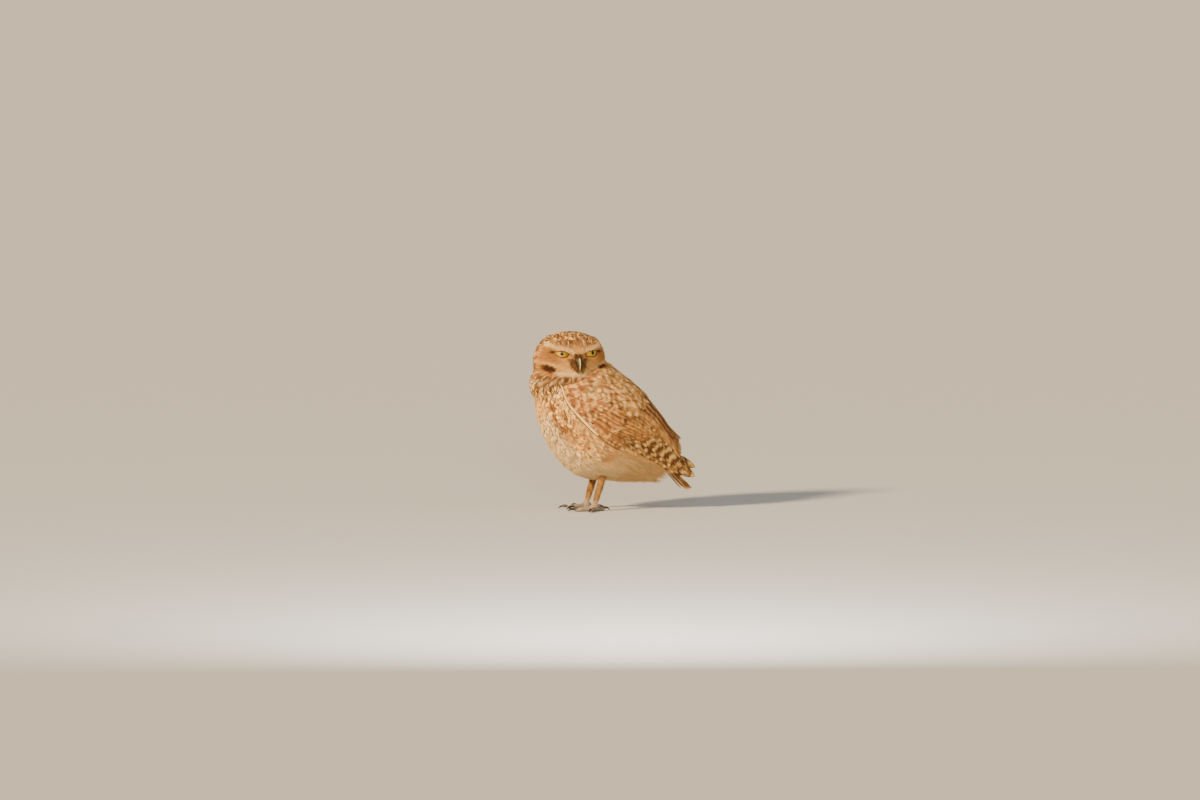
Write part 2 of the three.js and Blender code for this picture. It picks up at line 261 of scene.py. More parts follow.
def new_mesh(name, verts, corners, sizes):
    """An object from vertices, one long list of corner indices and the number of corners of each face."""
    mesh = bpy.data.meshes.new(name)
    mesh.vertices.add(len(verts))
    mesh.vertices.foreach_set("co", np.ascontiguousarray(verts, np.float32).ravel())
    mesh.loops.add(len(corners))
    mesh.loops.foreach_set("vertex_index", np.ascontiguousarray(corners, np.int32))
    mesh.polygons.add(len(sizes))
    starts = np.concatenate([[0], np.cumsum(sizes)[:-1]])
    mesh.polygons.foreach_set("loop_start", starts.astype(np.int32))
    mesh.update(calc_edges=True)
    mesh.polygons.foreach_set("use_smooth", np.ones(len(sizes), bool))
    return linked(name, mesh)


def set_colour(mesh, values):
    layer = mesh.color_attributes.new("Col", "FLOAT_COLOR", "POINT")
    rgba = np.ones((len(values), 4), np.float32)
    rgba[:, :3] = np.clip(values, 0, 1)
    layer.data.foreach_set("color", rgba.ravel())


def set_uv(mesh, name, per_vertex):
    layer = mesh.uv_layers.new(name=name)
    index = np.empty(len(mesh.loops), np.int32)
    mesh.loops.foreach_get("vertex_index", index)
    layer.uv.foreach_set("vector", np.ascontiguousarray(per_vertex[index], np.float32).ravel())


def quads_between(a, b):
    """Quads between rings of corners and the rings after them."""
    return np.stack([a, np.roll(a, -1, -1), np.roll(b, -1, -1), b], axis=-1).reshape(-1, 4)


def tubes(name, rings, colours, vane=None, bake=None):
    """One mesh of many closed tubes. rings is (tube, row, corner, xyz), and the other arrays match it."""
    count, _, around = rings.shape[:3]
    verts = rings.reshape(-1, 3)
    index = np.arange(len(verts)).reshape(rings.shape[:3])
    quads = quads_between(index[:, :-1], index[:, 1:])
    ends = [index[:, 0, ::-1].reshape(-1), index[:, -1].reshape(-1)]
    corners = np.concatenate([quads.reshape(-1), *ends])
    obj = new_mesh(name, verts, corners, np.repeat([4, around], [len(quads), 2 * count]))
    set_colour(obj.data, colours.reshape(-1, 3))
    for layer, places in (("OFBake", bake), ("Vane", vane)):
        if places is not None:
            set_uv(obj.data, layer, places.reshape(-1, 2))
    return obj


# Materials

def add_node(tree, kind, inputs=None, **settings):
    """A new node, whose inputs are values or other nodes' outputs."""
    node = tree.nodes.new(kind)
    for key, value in settings.items():
        setattr(node, key, value)
    for socket, value in (inputs or {}).items():
        if isinstance(value, bpy.types.NodeSocket):
            tree.links.new(value, node.inputs[socket])
        else:
            node.inputs[socket].default_value = value
    return node


def new_material(name, constants):
    """A material and its node tree, with constants on the shader's own sockets."""
    mat = bpy.data.materials.new(name)
    mat.use_nodes = True
    for socket, value in constants.items():
        mat.node_tree.nodes["Principled BSDF"].inputs[socket].default_value = value
    return mat, mat.node_tree


def fine_noise(tree, coords, scale, detail):
    inputs = {"Vector": coords, "Scale": scale, "Detail": detail}
    return add_node(tree, "ShaderNodeTexNoise", inputs).outputs["Fac"]


def paint_shader(tree, shade, height, strength, distance):
    """Vertex colours times a shade for the base colour, and a bump from heights."""
    shader = tree.nodes["Principled BSDF"]
    paint = add_node(tree, "ShaderNodeVertexColor", layer_name="Col").outputs["Color"]
    tint = add_node(tree, "ShaderNodeVectorMath", {0: paint, "Scale": shade}, operation="SCALE")
    bump = add_node(tree, "ShaderNodeBump", {"Strength": strength, "Distance": distance, "Height": height})
    tree.links.new(tint.outputs[0], shader.inputs["Base Color"])
    tree.links.new(bump.outputs[0], shader.inputs["Normal"])


def feather_material(name, roughness, barb_gap, sheen):
    """Vertex colours with fine barbs that slant from each feather's shaft, and a little grain."""
    mat, tree = new_material(name, {"Roughness": roughness, "Sheen Weight": sheen, "Sheen Roughness": 0.6,
                                    "Specular IOR Level": 0.12})

    def calc(operation, *values):
        return add_node(tree, "ShaderNodeMath", dict(enumerate(values)), operation=operation).outputs[0]

    uv = add_node(tree, "ShaderNodeUVMap", uv_map="Vane")
    place = add_node(tree, "ShaderNodeSeparateXYZ", {0: uv.outputs[0]})
    coords = add_node(tree, "ShaderNodeTexCoord").outputs["Object"]
    slant = calc("SUBTRACT", place.outputs[1], calc("MULTIPLY", calc("ABSOLUTE", place.outputs[0]), 0.8))
    wander = calc("MULTIPLY", fine_noise(tree, coords, 600, 2), 9.0)
    wave = calc("SINE", calc("ADD", calc("MULTIPLY", slant, 2 * math.pi / barb_gap), wander))
    barbs = calc("ADD", calc("MULTIPLY", wave, 0.5), 0.5)
    grain = calc("MULTIPLY", fine_noise(tree, coords, 2500, 3), 0.30)
    shade = calc("ADD", calc("ADD", calc("MULTIPLY", barbs, 0.22), grain), 0.74)
    paint_shader(tree, shade, barbs, strength=0.5, distance=0.06 * MM)
    return mat


def grained_material(name, constants, scale, detail, shades, strength, distance, scaly=False):
    """Vertex colours under a fine grain, with small scales where that is asked."""
    mat, tree = new_material(name, constants)
    coords = add_node(tree, "ShaderNodeTexCoord").outputs["Object"]
    height = grain = fine_noise(tree, coords, scale, detail)
    if scaly:
        scales = add_node(tree, "ShaderNodeTexVoronoi", {"Vector": coords, "Scale": 1100})
        height = scales.outputs["Distance"]
    shade = add_node(tree, "ShaderNodeMapRange", {"Value": grain, "To Min": shades[0], "To Max": shades[1]})
    paint_shader(tree, shade.outputs[0], height, strength, distance)
    return mat


def horn_material(name, roughness, coat):
    """Horn with a faint grain, under a clear coat where it is polished."""
    constants = {"Roughness": roughness, "Specular IOR Level": 0.25, "Coat Weight": coat,
                 "Coat Roughness": 0.15}
    return grained_material(name, constants, 900, 4, (0.8, 1.15), 0.25, 0.08 * MM)


def eye_material():
    """A wet eyeball under a clear coat, painted by vertex colours."""
    mat, tree = new_material("eye", {"Roughness": 0.5, "Specular IOR Level": 0.1, "Coat Weight": 0.35,
                                     "Coat Roughness": 0.02})
    paint = add_node(tree, "ShaderNodeVertexColor", layer_name="Col")
    tree.links.new(paint.outputs["Color"], tree.nodes["Principled BSDF"].inputs["Base Color"])
    return mat


SOFT = feather_material("soft_feathers", roughness=0.9, barb_gap=0.42, sheen=0.03)
VANE = feather_material("vane_feathers", roughness=0.75, barb_gap=0.55, sheen=0.02)
SKIN = grained_material("skin", {"Roughness": 0.85, "Specular IOR Level": 0.3}, 1400, 5, (0.72, 1.12), 0.6,
                        0.15 * MM, scaly=True)
HORN = horn_material("bill_horn", 0.6, 0.0)
CLAW = horn_material("claw_horn", 0.32, 0.35)
EYE = eye_material()


def finish_piece(obj, material, slot_name, *replaced):
    """The piece with its material, on the one body, in place of the named nodes."""
    obj.data.materials.append(material)
    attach(obj, "root")
    if replaced:
        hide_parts(*replaced)
    return obj


# The camera, the floor and the lights

CAMERA_DISTANCE = 20.0
SENSOR_WIDTH = 36
FRAME_WIDTH = 1.2  # metres across the photograph's 1200 pixels, at the bird
FRAME_CENTRE_UP = 0.1095  # from the design frame's origin to the frame's centre, on the picture
FLOOR_REACH = 25  # metres from the middle to each side


def way_to(azimuth, elevation):
    """The way from the bird towards a viewer at that azimuth and elevation, in degrees."""
    a, e = math.radians(azimuth), math.radians(elevation)
    return Vector((math.sin(a) * math.cos(e), -math.cos(a) * math.cos(e), math.sin(e)))


def facing_bird(name, data, way):
    """A camera or a light that looks at the bird from that way."""
    obj = linked(name, data)
    obj.rotation_mode = "QUATERNION"
    obj.rotation_quaternion = (-way).to_track_quat("-Z", "Y")
    return obj


def sun_light(name, azimuth, elevation, softness, power, tint):
    data = bpy.data.lights.new(name, "SUN")
    data.angle = math.radians(softness)
    data.energy = power
    data.color = tint
    facing_bird(name, data, way_to(azimuth, elevation))


camera_way = way_to(-15, 5)
camera_data = bpy.data.cameras.new("camera")
camera_data.sensor_width = SENSOR_WIDTH
camera_data.lens = SENSOR_WIDTH * CAMERA_DISTANCE / FRAME_WIDTH
camera_data.clip_end = 10 * CAMERA_DISTANCE
camera = facing_bird("camera", camera_data, camera_way)
picture_up = camera.rotation_quaternion @ Vector((0, 1, 0))
camera.location = Vector(ORIGIN) + picture_up * FRAME_CENTRE_UP + camera_way * CAMERA_DISTANCE
bpy.context.scene.camera = camera

floor_corners = FLOOR_REACH * np.array([[-1, -1, 0], [1, -1, 0], [1, 1, 0], [-1, 1, 0]], float)
floor = new_mesh("floor", floor_corners, np.arange(4), np.array([4]))
floor_material, _ = new_material("floor", {"Base Color": (0.56, 0.54, 0.51, 1), "Roughness": 0.9})
floor.data.materials.append(floor_material)

sun_light("key", -68, 27, 8, 8.4, (1.0, 0.78, 0.50))
sun_light("fill", 50, 30, 50, 0.35, (1.0, 0.95, 0.88))
# A small disk of light in front of the face shows as a point in the eyes
CATCH_DISTANCE = 1.5
catch_data = bpy.data.lights.new("catchlight", "AREA")
catch_data.shape = "DISK"
catch_data.size = 0.28
catch_data.energy = 14
catch_way = way_to(-12, 0) + Vector((0, 0, 0.21))
catch = facing_bird("catchlight", catch_data, catch_way)
catch.location = Vector(HEAD_CENTRE) + catch_way * CATCH_DISTANCE
world = bpy.data.worlds.new("world")
world.use_nodes = True
world.node_tree.nodes["Background"].inputs["Color"].default_value = (1.0, 0.95, 0.87, 1)
world.node_tree.nodes["Background"].inputs["Strength"].default_value = 0.36
bpy.context.scene.world = world


# The hull is the CAD model's flesh as one smooth surface: the coat's outer side

EYES = [f"eye_{side}" for side in SIDES]
FLESH = ["head", "neck", "trunk", "wing_left", "wing_right", "thigh_left", "thigh_right"]
LEGS = [f"{part}_{side}" for side in SIDES for part in ["tarsus", "foot", *(f"toe_{toe}" for toe in TOES)]]
WING_END = 136  # the skin stops here on the wings, and feathers go on


def joined_copy(names, cut_along):
    """The named nodes' meshes as one, cut off square to the axis where a place is given."""
    bm = bmesh.new()
    for name in names:
        bm.from_mesh(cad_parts[name].data)
    bmesh.ops.remove_doubles(bm, verts=bm.verts, dist=1e-6)
    if cut_along is not None:
        place = Vector(on_axis(cut_along, 0, 0))
        cut = bmesh.ops.bisect_plane(bm, geom=bm.verts[:] + bm.edges[:] + bm.faces[:], plane_co=place,
                                     plane_no=Vector(ALONG), clear_outer=True)
        edges = [e for e in cut["geom_cut"] if isinstance(e, bmesh.types.BMEdge)]
        bmesh.ops.holes_fill(bm, edges=edges)
    mesh = bpy.data.meshes.new("copy")
    bm.to_mesh(mesh)
    bm.free()
    return linked("copy", mesh)


def applied(obj, *modifiers):
    """The object's mesh with these modifiers applied; each is (type, settings)."""
    for kind, settings in modifiers:
        modifier = obj.modifiers.new(kind.lower(), kind)
        for key, value in settings.items():
            setattr(modifier, key, value)
    evaluated = obj.evaluated_get(bpy.context.evaluated_depsgraph_get())
    mesh = bpy.data.meshes.new_from_object(evaluated)
    bpy.data.objects.remove(obj)
    return mesh


def mesh_arrays(mesh):
    """(vertices, vertex normals) as arrays."""
    verts = np.empty(len(mesh.vertices) * 3, np.float32)
    normals = np.empty(len(mesh.vertices) * 3, np.float32)
    mesh.vertices.foreach_get("co", verts)
    mesh.vertices.foreach_get("normal", normals)
    return verts.reshape(-1, 3).astype(float), normals.reshape(-1, 3).astype(float)


def grown(mesh, by):
    """The same mesh with every vertex moved out along its normal."""
    verts, normals = mesh_arrays(mesh)
    mesh.vertices.foreach_set("co", (verts + normals * by).astype(np.float32).ravel())
    mesh.update()
    return mesh


def hull_of(names, cut_along, voxel, smooth, close):
    """One smooth surface over nodes: swollen to close the gaps between them, remeshed, then drawn back."""
    mesh = applied(joined_copy(names, cut_along), ("REMESH", {"mode": "VOXEL", "voxel_size": voxel * 0.7}))
    mesh = applied(linked("hull", grown(mesh, close)), ("REMESH", {"mode": "VOXEL", "voxel_size": voxel}),
                   ("SMOOTH", {"factor": 0.5, "iterations": smooth}))
    return grown(mesh, -close)


def tree_of(mesh):
    return BVHTree.FromPolygons([v.co for v in mesh.vertices], [p.vertices[:] for p in mesh.polygons])


body_hull = hull_of(FLESH + EYES, WING_END, voxel=1.3 * MM, smooth=6, close=0.5 * MM)
leg_hull = hull_of(LEGS, None, voxel=0.5 * MM, smooth=4, close=0.3 * MM)
body_tree = tree_of(body_hull)
leg_tree = tree_of(leg_hull)


def nearest(tree, points):
    """Each point's nearest place on a surface and the normal there."""
    found = [tree.find_nearest(p) for p in points.tolist()]
    return np.array([f[0] for f in found]), np.array([f[1] for f in found])


def coat_depth(points):
    """How far the skin lies under the coat's outline, in metres."""
    _, front, up = head_place(points).T
    along, _ = body_place(points)
    deep = mix(3.2, 1.4, ramp(front, 8, 22) * ramp(up, -26, -18))
    leg = ramp(points[:, 2], 50 * MM, 38 * MM)
    return MM * deep * mix(1, 0.35, ramp(along, 120, WING_END)) * mix(1, 0.7, leg)


def coat_lift(points):
    """How far the face's feathers stand off the outline around the eyes, where they lie over the lids."""
    left, front, up = head_place(points).T
    eye = np.hypot(np.abs(left) - EYE_OUT, up - EYE_UP)
    over = 1.3 + 1.0 * ramp(up, EYE_UP, EYE_UP + 4)
    return MM * over * ramp(eye, 14, 8.0) * ramp(front, 12, 18)


# The coat's colours: the skin and every tuft read them from here

HEAD_FOOT = -21  # the head's lower limit, in millimetres from its centre


def face_marks(points, base):
    """The head's pattern over base colours."""
    left, front, up = head_place(points).T
    away = np.abs(left)
    on_face = ramp(front, -2, 10)
    c = base

    def lay(paint, weight):
        nonlocal c
        c = mix(c, paint, np.clip(weight, 0, 1)[:, None])

    eye = np.hypot(away - EYE_OUT, up - EYE_UP)
    flecks = noise(points * [1, 1, 0.6], 1.5 * MM, 9)
    lay(DARK_BROWN, ramp(flecks, 0.46, 0.32) * 0.65)
    lay(PALE_BUFF, ramp(flecks, 0.56, 0.68) * 0.85)
    lay(TAN, on_face * ramp(up, 20, 13) * ramp(up, -14, -9) * 0.9)
    lay(WARM_BROWN, bump_at(away, 29, 6) * bump_at(up, 8, 6.5) * ramp(front, -6, 4) * 0.75)
    lay(OLIVE_TAN, on_face * bump_at(up, 3.5, 4.5) * bump_at(away, 24, 6) * 0.6)
    lay(PALE_BUFF, on_face * bump_at(up, 1.5, 5) * bump_at(away, 14, 6.5) * 0.8)
    lay(WARM_BROWN, on_face * bump_at(eye, 8.6, 2.0) * 0.5)
    brow_width = mix(2.9, 2.2, ramp(away, 10, 26))
    brow = bump_at(up, 11.9 + 0.27 * away, brow_width) * ramp(away, 1.5, 5) * ramp(away, 36, 28)
    lay(mix(WHITE_BUFF, PALE_BUFF, 0.4), brow * ramp(front, 2, 12) * 1.35)
    lay(PALE_BUFF, bump_at(up, 10.5, 4.5) * bump_at(away, 0, 4.0) * on_face * 0.9)
    lay(BUFF, bump_at(up, 17.5, 3.5) * bump_at(away, 0, 4.5) * on_face * 0.7)
    corner = bump_at(up, EYE_UP - 0.8, 1.6) * bump_at(away, EYE_OUT - 8.0, 1.8)
    corner = corner + bump_at(up, EYE_UP + 1.8, 1.6) * bump_at(away, EYE_OUT + 9.4, 3.4)
    lay(DARK_BROWN, on_face * corner * 1.1)
    lores = np.hypot((away - 5.4 - 0.34 * (up + 1.8)) / 3.6, (up + 1.8) / 6.2)
    lay(DARK_BROWN, ramp(lores, 1.25, 0.75) * ramp(front, 14, 22) * 0.95)
    border = bump_at(up, -10.5 + 0.34 * away, 1.7) * ramp(away, 38, 30) * ramp(front, -6, 4)
    lay(PALE_BUFF, border * 1.2)
    under_chin = bump_at(up, -16.5, 2.6) * ramp(away, 30, 20) * ramp(front, -4, 6)
    lay(MID_BROWN * 0.55, under_chin * ramp(flecks, 0.66, 0.42))
    chin = bump_at(up, -10.8 + 0.05 * away, 2.0) * ramp(away, 27, 18) * ramp(front, 0, 8)
    lay(WHITE_BUFF, chin * 1.3)
    across = (away - 29.0) * 0.94 + (up + 5.0) * 0.34
    beside = (up + 5.0) * 0.94 - (away - 29.0) * 0.34
    patch = np.hypot(across / 6.0, beside / 4.2) + 0.6 * (noise(points, 2.2 * MM, 12) - 0.5)
    lay(DARK_RED_BROWN, ramp(patch, 1.15, 0.75) * ramp(front, -12, -5))
    return c


def beside_wing(along, belly):
    """1 on the plain pale strip of the breast beside the wing's front edge, 0 away from it."""
    beyond = belly - wing_edges(np.clip(along, *WING_SPAN))[1]
    return ramp(beyond, 0.36, 0.16) * ramp(along, 2, 10) * ramp(along, 80, 58)


def coat_colour(points):
    """The coat's mean colour at points."""
    along, angle = body_place(points)
    _, _, up = head_place(points).T
    belly = np.abs(angle)
    strip = beside_wing(along, belly)
    patches = noise(points, 7 * MM, 1)[:, None]
    fine = noise(points, 2.6 * MM, 2)[:, None]
    back = mix(MID_BROWN, WARM_BROWN, patches)
    breast = mix(BUFF, PALE_BUFF, patches)
    blots = ramp(noise(points @ np.array([ALONG, Y_AXIS * 0.8, RISE * 0.8]).T, 3.6 * MM, 3), 0.51, 0.57)
    blots = blots * ramp(along, 56, 34) * ramp(belly, 2.75, 2.5) * (1 - 0.9 * strip)
    breast = mix(breast, MID_BROWN * 0.7, blots[:, None])
    flank = mix(BUFF, PALE_BUFF, patches)
    bars = ramp(noise(points @ np.array([ALONG, Y_AXIS * 0.6, RISE]).T, 4.6 * MM, 4), 0.54, 0.62)
    bars = bars * ramp(along, 24, 36) * ramp(along, 96, 84) * ramp(belly, 2.5, 2.25) * (1 - 0.6 * strip)
    under = mix(CREAM, WHITE_BUFF, 0.3 + patches * 0.5)
    low = mix(breast, flank, (ramp(along, 28, 62) * ramp(belly, 2.5, 2.0))[:, None])
    low = mix(low, under, (ramp(along, 50, 88) * ramp(belly, 1.75, 2.3))[:, None])
    low = mix(low, CREAM, (strip * 0.7)[:, None])
    low = mix(low, CINNAMON * 0.9, (bars * 0.85)[:, None])
    low = mix(low, GREY_WHITE, (ramp(belly, 2.42, 2.62) * ramp(along, 4, 22) * 0.9)[:, None])
    body = mix(back, low, ramp(belly, 1.25, 1.6)[:, None])
    collar = mix(MID_BROWN * 0.6, GREY_WHITE, ramp(fine, 0.46, 0.62))
    body = mix(body, collar, (ramp(up, HEAD_FOOT - 17, HEAD_FOOT - 8) * 0.9)[:, None])
    crown = mix(CROWN_BROWN, WARM_BROWN, ramp(fine, 0.4, 0.7) * 0.6)
    head = face_marks(points, crown)
    return mix(body, head, ramp(up, HEAD_FOOT, HEAD_FOOT + 6)[:, None])


# The eyes

def eye_frame(side):
    """An eye's centre and its axes: towards the temple, up, and out along its line of sight."""
    centre = head_point(-side * (EYE_OUT - EYE_RADIUS * math.sin(EYE_SPLAY)),
                        EYE_FRONT - EYE_RADIUS * math.cos(EYE_SPLAY), EYE_UP)
    temple = -side * math.cos(EYE_SPLAY) * LEFTWARD - math.sin(EYE_SPLAY) * FRONT
    axis = -side * math.sin(EYE_SPLAY) * LEFTWARD + math.cos(EYE_SPLAY) * FRONT
    return centre, np.array([temple, [0, 0, 1], axis])


def eye_place(points, side):
    """(temple, up, out) of points from an eye's centre, in millimetres."""
    centre, axes = eye_frame(side)
    return ((points - centre) / MM @ axes.T).T


# The opening between the lids, from the eye's axis, in millimetres, and how it rises to the temple
OPEN_WIDE = 6.3
OPEN_TOP = 1.7
OPEN_LOW = 3.1
OPEN_SLOPE = 0.11

# The lids' rows run from inside the rim, over it, and out to where the lid dives under the skin
LID_SHARES = np.array([0, 0, 0.02, 0.06, 0.11, 0.17, 0.24, 0.32, 0.42, 0.54, 0.68, 0.84, 1.0, 1.0, 0.5])
LID_OUT = np.array([-0.5, 0.12, 0.62, 0.80, 0.62, 0.34, 0.36, 0.40, 0.34, 0.28, 0.22, 0.16, 0.1, -1.2, -1.6])
LID_REACH = math.radians(88)


def lid_piece(side):
    """The lids as one closed shell on the eyeball, with a flat upper rim that slopes down to the bill."""
    centre, axes = eye_frame(side)
    t = circle(72)
    upper = np.sin(t) > 0
    share, out = LID_SHARES[:, None], LID_OUT[:, None]
    x = OPEN_WIDE * np.sign(np.cos(t)) * np.abs(np.cos(t)) ** 0.85
    y = np.where(upper, OPEN_TOP, OPEN_LOW) * np.sign(np.sin(t))
    y = y * np.abs(np.sin(t)) ** np.where(upper, 0.55, 0.9) + OPEN_SLOPE * x
    turn = np.arctan2(y, x)
    tip = np.arcsin(np.clip(np.hypot(x, y) / EYE_RADIUS, 0, 0.97))
    polar = mix(tip, LID_REACH, share)
    radius = EYE_RADIUS + out + 0.10 * np.sin(9 * t) * bump_at(share, 0.3, 0.2)
    radius = radius + 0.45 * np.clip(-np.cos(turn), 0, 1) ** 4 * (out > 0.2)
    # The upper lid stands out under the brow
    radius = radius + 0.25 * (np.clip(np.sin(turn), 0, 1) * bump_at(polar, 0.75, 0.35)) * (out > 0.2)
    verts = centre + MM * radius[..., None] * (polar_way(turn, polar) @ axes)
    index = np.arange(polar.size).reshape(polar.shape)
    quads = quads_between(index, np.roll(index, -1, axis=0))
    if side < 0:
        quads = quads[:, ::-1]
    dark = bump_at(share, 0.02, mix(0.06, 0.13, ramp(y, -0.5, 1.0)))
    dark = dark + 0.9 * bump_at(np.abs(x), OPEN_WIDE, 1.8) * (share < 0.35)
    paint = mix(mix(TAN, WARM_BROWN, 0.4), RIM_DARK, np.clip(dark, 0, 1)[..., None])
    return verts.reshape(-1, 3), quads, paint.reshape(-1, 3)


# The skin

def skin_piece():
    verts, normals = mesh_arrays(body_hull)
    inner = verts - normals * coat_depth(verts)[:, None]
    for side in SIDES.values():
        # The eye's corner by the bill is a hollow
        x, y, z = eye_place(inner, side)
        hollow = bump_at(np.hypot(x + OPEN_WIDE, y + 0.7), 0, 2.3) * (z > 0)
        inner = inner - normals * (MM * 1.4 * hollow)[:, None]
    legs, leg_normals = mesh_arrays(leg_hull)
    feathered = ramp(legs[:, 2], 5 * MM, 12 * MM)
    leg_inner = legs - leg_normals * (MM * mix(0.05, 0.6, feathered))[:, None]
    leg_inner[:, 2] = np.maximum(leg_inner[:, 2], 0)
    toe_colour = mix(TOE_GREY, TOE_PALE, noise(legs, 1.6 * MM, 5)[:, None])
    leg_colour = mix(toe_colour, BUFF * 0.8, feathered[:, None])
    points, paints = [inner, leg_inner], [coat_colour(verts) * 0.62, leg_colour]
    faces = [np.array([p.vertices[:] for p in hull.polygons]) for hull in (body_hull, leg_hull)]
    for side in SIDES.values():
        for shapes, part in zip((points, faces, paints), lid_piece(side)):
            shapes.append(part)
    starts = np.cumsum([0] + [len(p) for p in points[:-1]])
    faces = np.concatenate([f + s for f, s in zip(faces, starts)])
    skin_mesh = new_mesh("skin", np.concatenate(points), faces.reshape(-1), np.full(len(faces), 4))
    set_colour(skin_mesh.data, np.concatenate(paints))
    return finish_piece(skin_mesh, SKIN, "body_feathers", *FLESH, *LEGS)


skin = skin_piece()
skin_tree = tree_of(skin.data)


# Eyes, bill and claws

def lathe(name, rows, paint, material, slot_name):
    """A closed surface from rings of points, (row, corner, xyz), in place of the node of its name."""
    return finish_piece(tubes(name, rows[None], paint[None]), material, slot_name, name)


PUPIL_RADIUS = 1.75
IRIS_RADIUS = 6.7


def eye_piece(name, side):
    centre, axes = eye_frame(side)
    polar = np.concatenate([np.linspace(0.004, 1.1, 62), np.linspace(1.15, np.pi - 0.004, 28)])
    polar, turn = np.meshgrid(polar, circle(96) * side, indexing="ij")
    out = np.where(polar > np.pi / 2, EYE_RADIUS + 0.8, EYE_RADIUS * np.sin(polar))
    radius = EYE_RADIUS + 0.22 * bump_at(polar, 0, 0.55)
    verts = centre + MM * radius[..., None] * (polar_way(turn, polar) @ axes)
    grain = np.stack([np.cos(turn) * 9, np.sin(turn) * 9, out * 0.35], axis=-1)
    streaks = noise(grain, 1.0, 6)[..., None]
    paint = mix(IRIS_YELLOW, IRIS_AMBER, ramp(streaks, 0.35, 0.8) * 0.6)
    paint = mix(paint, IRIS_PALE, (bump_at(out, PUPIL_RADIUS + 0.7, 0.5) * 0.5)[..., None])
    paint = mix(paint, IRIS_AMBER * 0.55, ramp(out, IRIS_RADIUS - 1.5, IRIS_RADIUS - 0.2)[..., None])
    paint = mix(paint, PUPIL_BLACK, ramp(out, PUPIL_RADIUS + 0.12, PUPIL_RADIUS - 0.12)[..., None])
    paint = mix(paint, PUPIL_BLACK * 2, ramp(out, IRIS_RADIUS - 0.15, IRIS_RADIUS + 0.1)[..., None])
    return lathe(name, verts, paint, EYE, "iris")


for side_name, side_sign in SIDES.items():
    eye_piece(f"eye_{side_name}", side_sign)

BILL_WIDTH, BILL_DEPTH, BILL_ARC = 7.4, 8.6, 9.6
BILL_CENTRE_FRONT, BILL_CENTRE_UP = 25.6, -3.2


def bill_piece(name, turns, depth_share, drop, width_share):
    """A hooked horn that curves down over an arc, with a ridge along its top."""
    down = np.linspace(0.004, 0.996, 56)[:, None]
    edge = circle(64)
    share = (1 - np.cos(down * np.pi)) / 2
    turn = mix(turns[0], turns[1], share)
    body = (1 - share) ** 0.62 * np.minimum(down * 4, 1) ** 0.35
    top = np.clip(np.cos(edge), 0, 1)
    radial = BILL_ARC - drop + BILL_DEPTH * depth_share * body / 2 * np.cos(edge)
    ridge = 1 - 0.36 * top**1.5
    left = BILL_WIDTH * width_share * body / 2 * np.sin(edge) * ridge
    # The soft base swells at the nostrils
    nostril = bump_at(share, 0.13, 0.07) * bump_at(np.abs(np.sin(edge)), 0.8, 0.3) * (np.cos(edge) > 0)
    left = left * (1 + 0.22 * nostril)
    verts = head_point(left, BILL_CENTRE_FRONT + radial * np.cos(turn),
                       BILL_CENTRE_UP + radial * np.sin(turn))
    # The bill is pale horn: its narrow ridge is painted as lit and its sides in painted shade; it is paler
    # towards the tip and darker still at the nostrils
    lit = top**16 + ramp(share, 0.7, 1.0) * 0.3
    paint = mix(BILL_SHADE, BILL_PALE, np.clip(lit, 0, 1)[..., None])
    paint = paint * (0.7 + 0.6 * noise(verts.reshape(-1, 3), 0.5 * MM, 11).reshape(lit.shape))[..., None]
    paint = mix(paint, BILL_SHADE * 0.35, bump_at(nostril, 1, 0.35)[..., None] * 0.8)
    return lathe(name, verts, paint, HORN, "bill")


bill_piece("bill_upper", (1.5, -0.32), 1.0, 0.0, 1.0)
bill_piece("bill_lower", (0.34, -0.30), 0.34, 1.8, 0.55)


def claw_piece(side_name, toe):
    """A curved horn that leaves the toe's end and comes down to a point on the floor."""
    side = SIDES[side_name]
    bearing, reach, long = TOES[toe]
    way = np.array([-math.cos(math.radians(bearing)), side * math.sin(math.radians(bearing)), 0])
    foot = ORIGIN + [FOOT_X, side * FOOT_SPREAD, 0]
    knots = [foot + MM * (way * (reach - 1.6 + long * share) + [0, 0, height])
             for share, height in ((0, 2.4), (0.62, 4.3), (1, 0.25))]
    t = np.linspace(0.0, 1.0, 26)[:, None]
    line = bezier(*knots, t)
    forward = unit(np.gradient(line, axis=0))
    across = unit(np.cross(forward, [0, 0, 1]))
    upward = np.cross(across, forward)
    edge = circle(24)
    radius = MM * (1.45 * (1 - t) ** 0.72 + 0.12) * ramp(t, -0.25, 0.12)
    verts = (line[:, None] + across[:, None] * (radius * 0.8 * np.cos(edge))[..., None]
             + upward[:, None] * (radius * 1.05 * np.sin(edge))[..., None])
    verts[..., 2] = np.maximum(verts[..., 2], 0)
    paint = mix(CLAW_BASE, CLAW_TIP, ramp(t, 0.1, 0.6)[:, None] * np.ones((1, len(edge), 1)))
    return lathe(f"claw_{toe}_{side_name}", verts, paint, CLAW, "claw")


for side_name in SIDES:
    for toe_name in TOES:
        claw_piece(side_name, toe_name)


# Feathers

def tangent(direction, normal):
    return unit(direction - np.sum(direction * normal, axis=-1, keepdims=True) * normal)


def bake_place(points):
    """A place from 0 to 1 on an unwrap of the skin: the head from its face's pole, and the body unrolled."""
    up = head_place(points)[:, 2]
    place = unit(head_place(points))
    turn = np.arctan2(place[:, 2], place[:, 0])
    out = np.arccos(np.clip(place[:, 1], -1, 1)) / math.pi * 0.23
    head = np.stack([0.25 + out * np.cos(turn), 0.25 + out * np.sin(turn)], axis=-1)
    along, angle = body_place(points)
    body = np.stack([0.02 + 0.96 * (angle / (2 * math.pi) + 0.5),
                     0.52 + 0.46 * np.clip((along + 30) / 210, 0, 1)], axis=-1)
    return np.where((up > HEAD_FOOT)[:, None], head, body)


PATCH = 0.003  # a tuft's part of the bake map's side


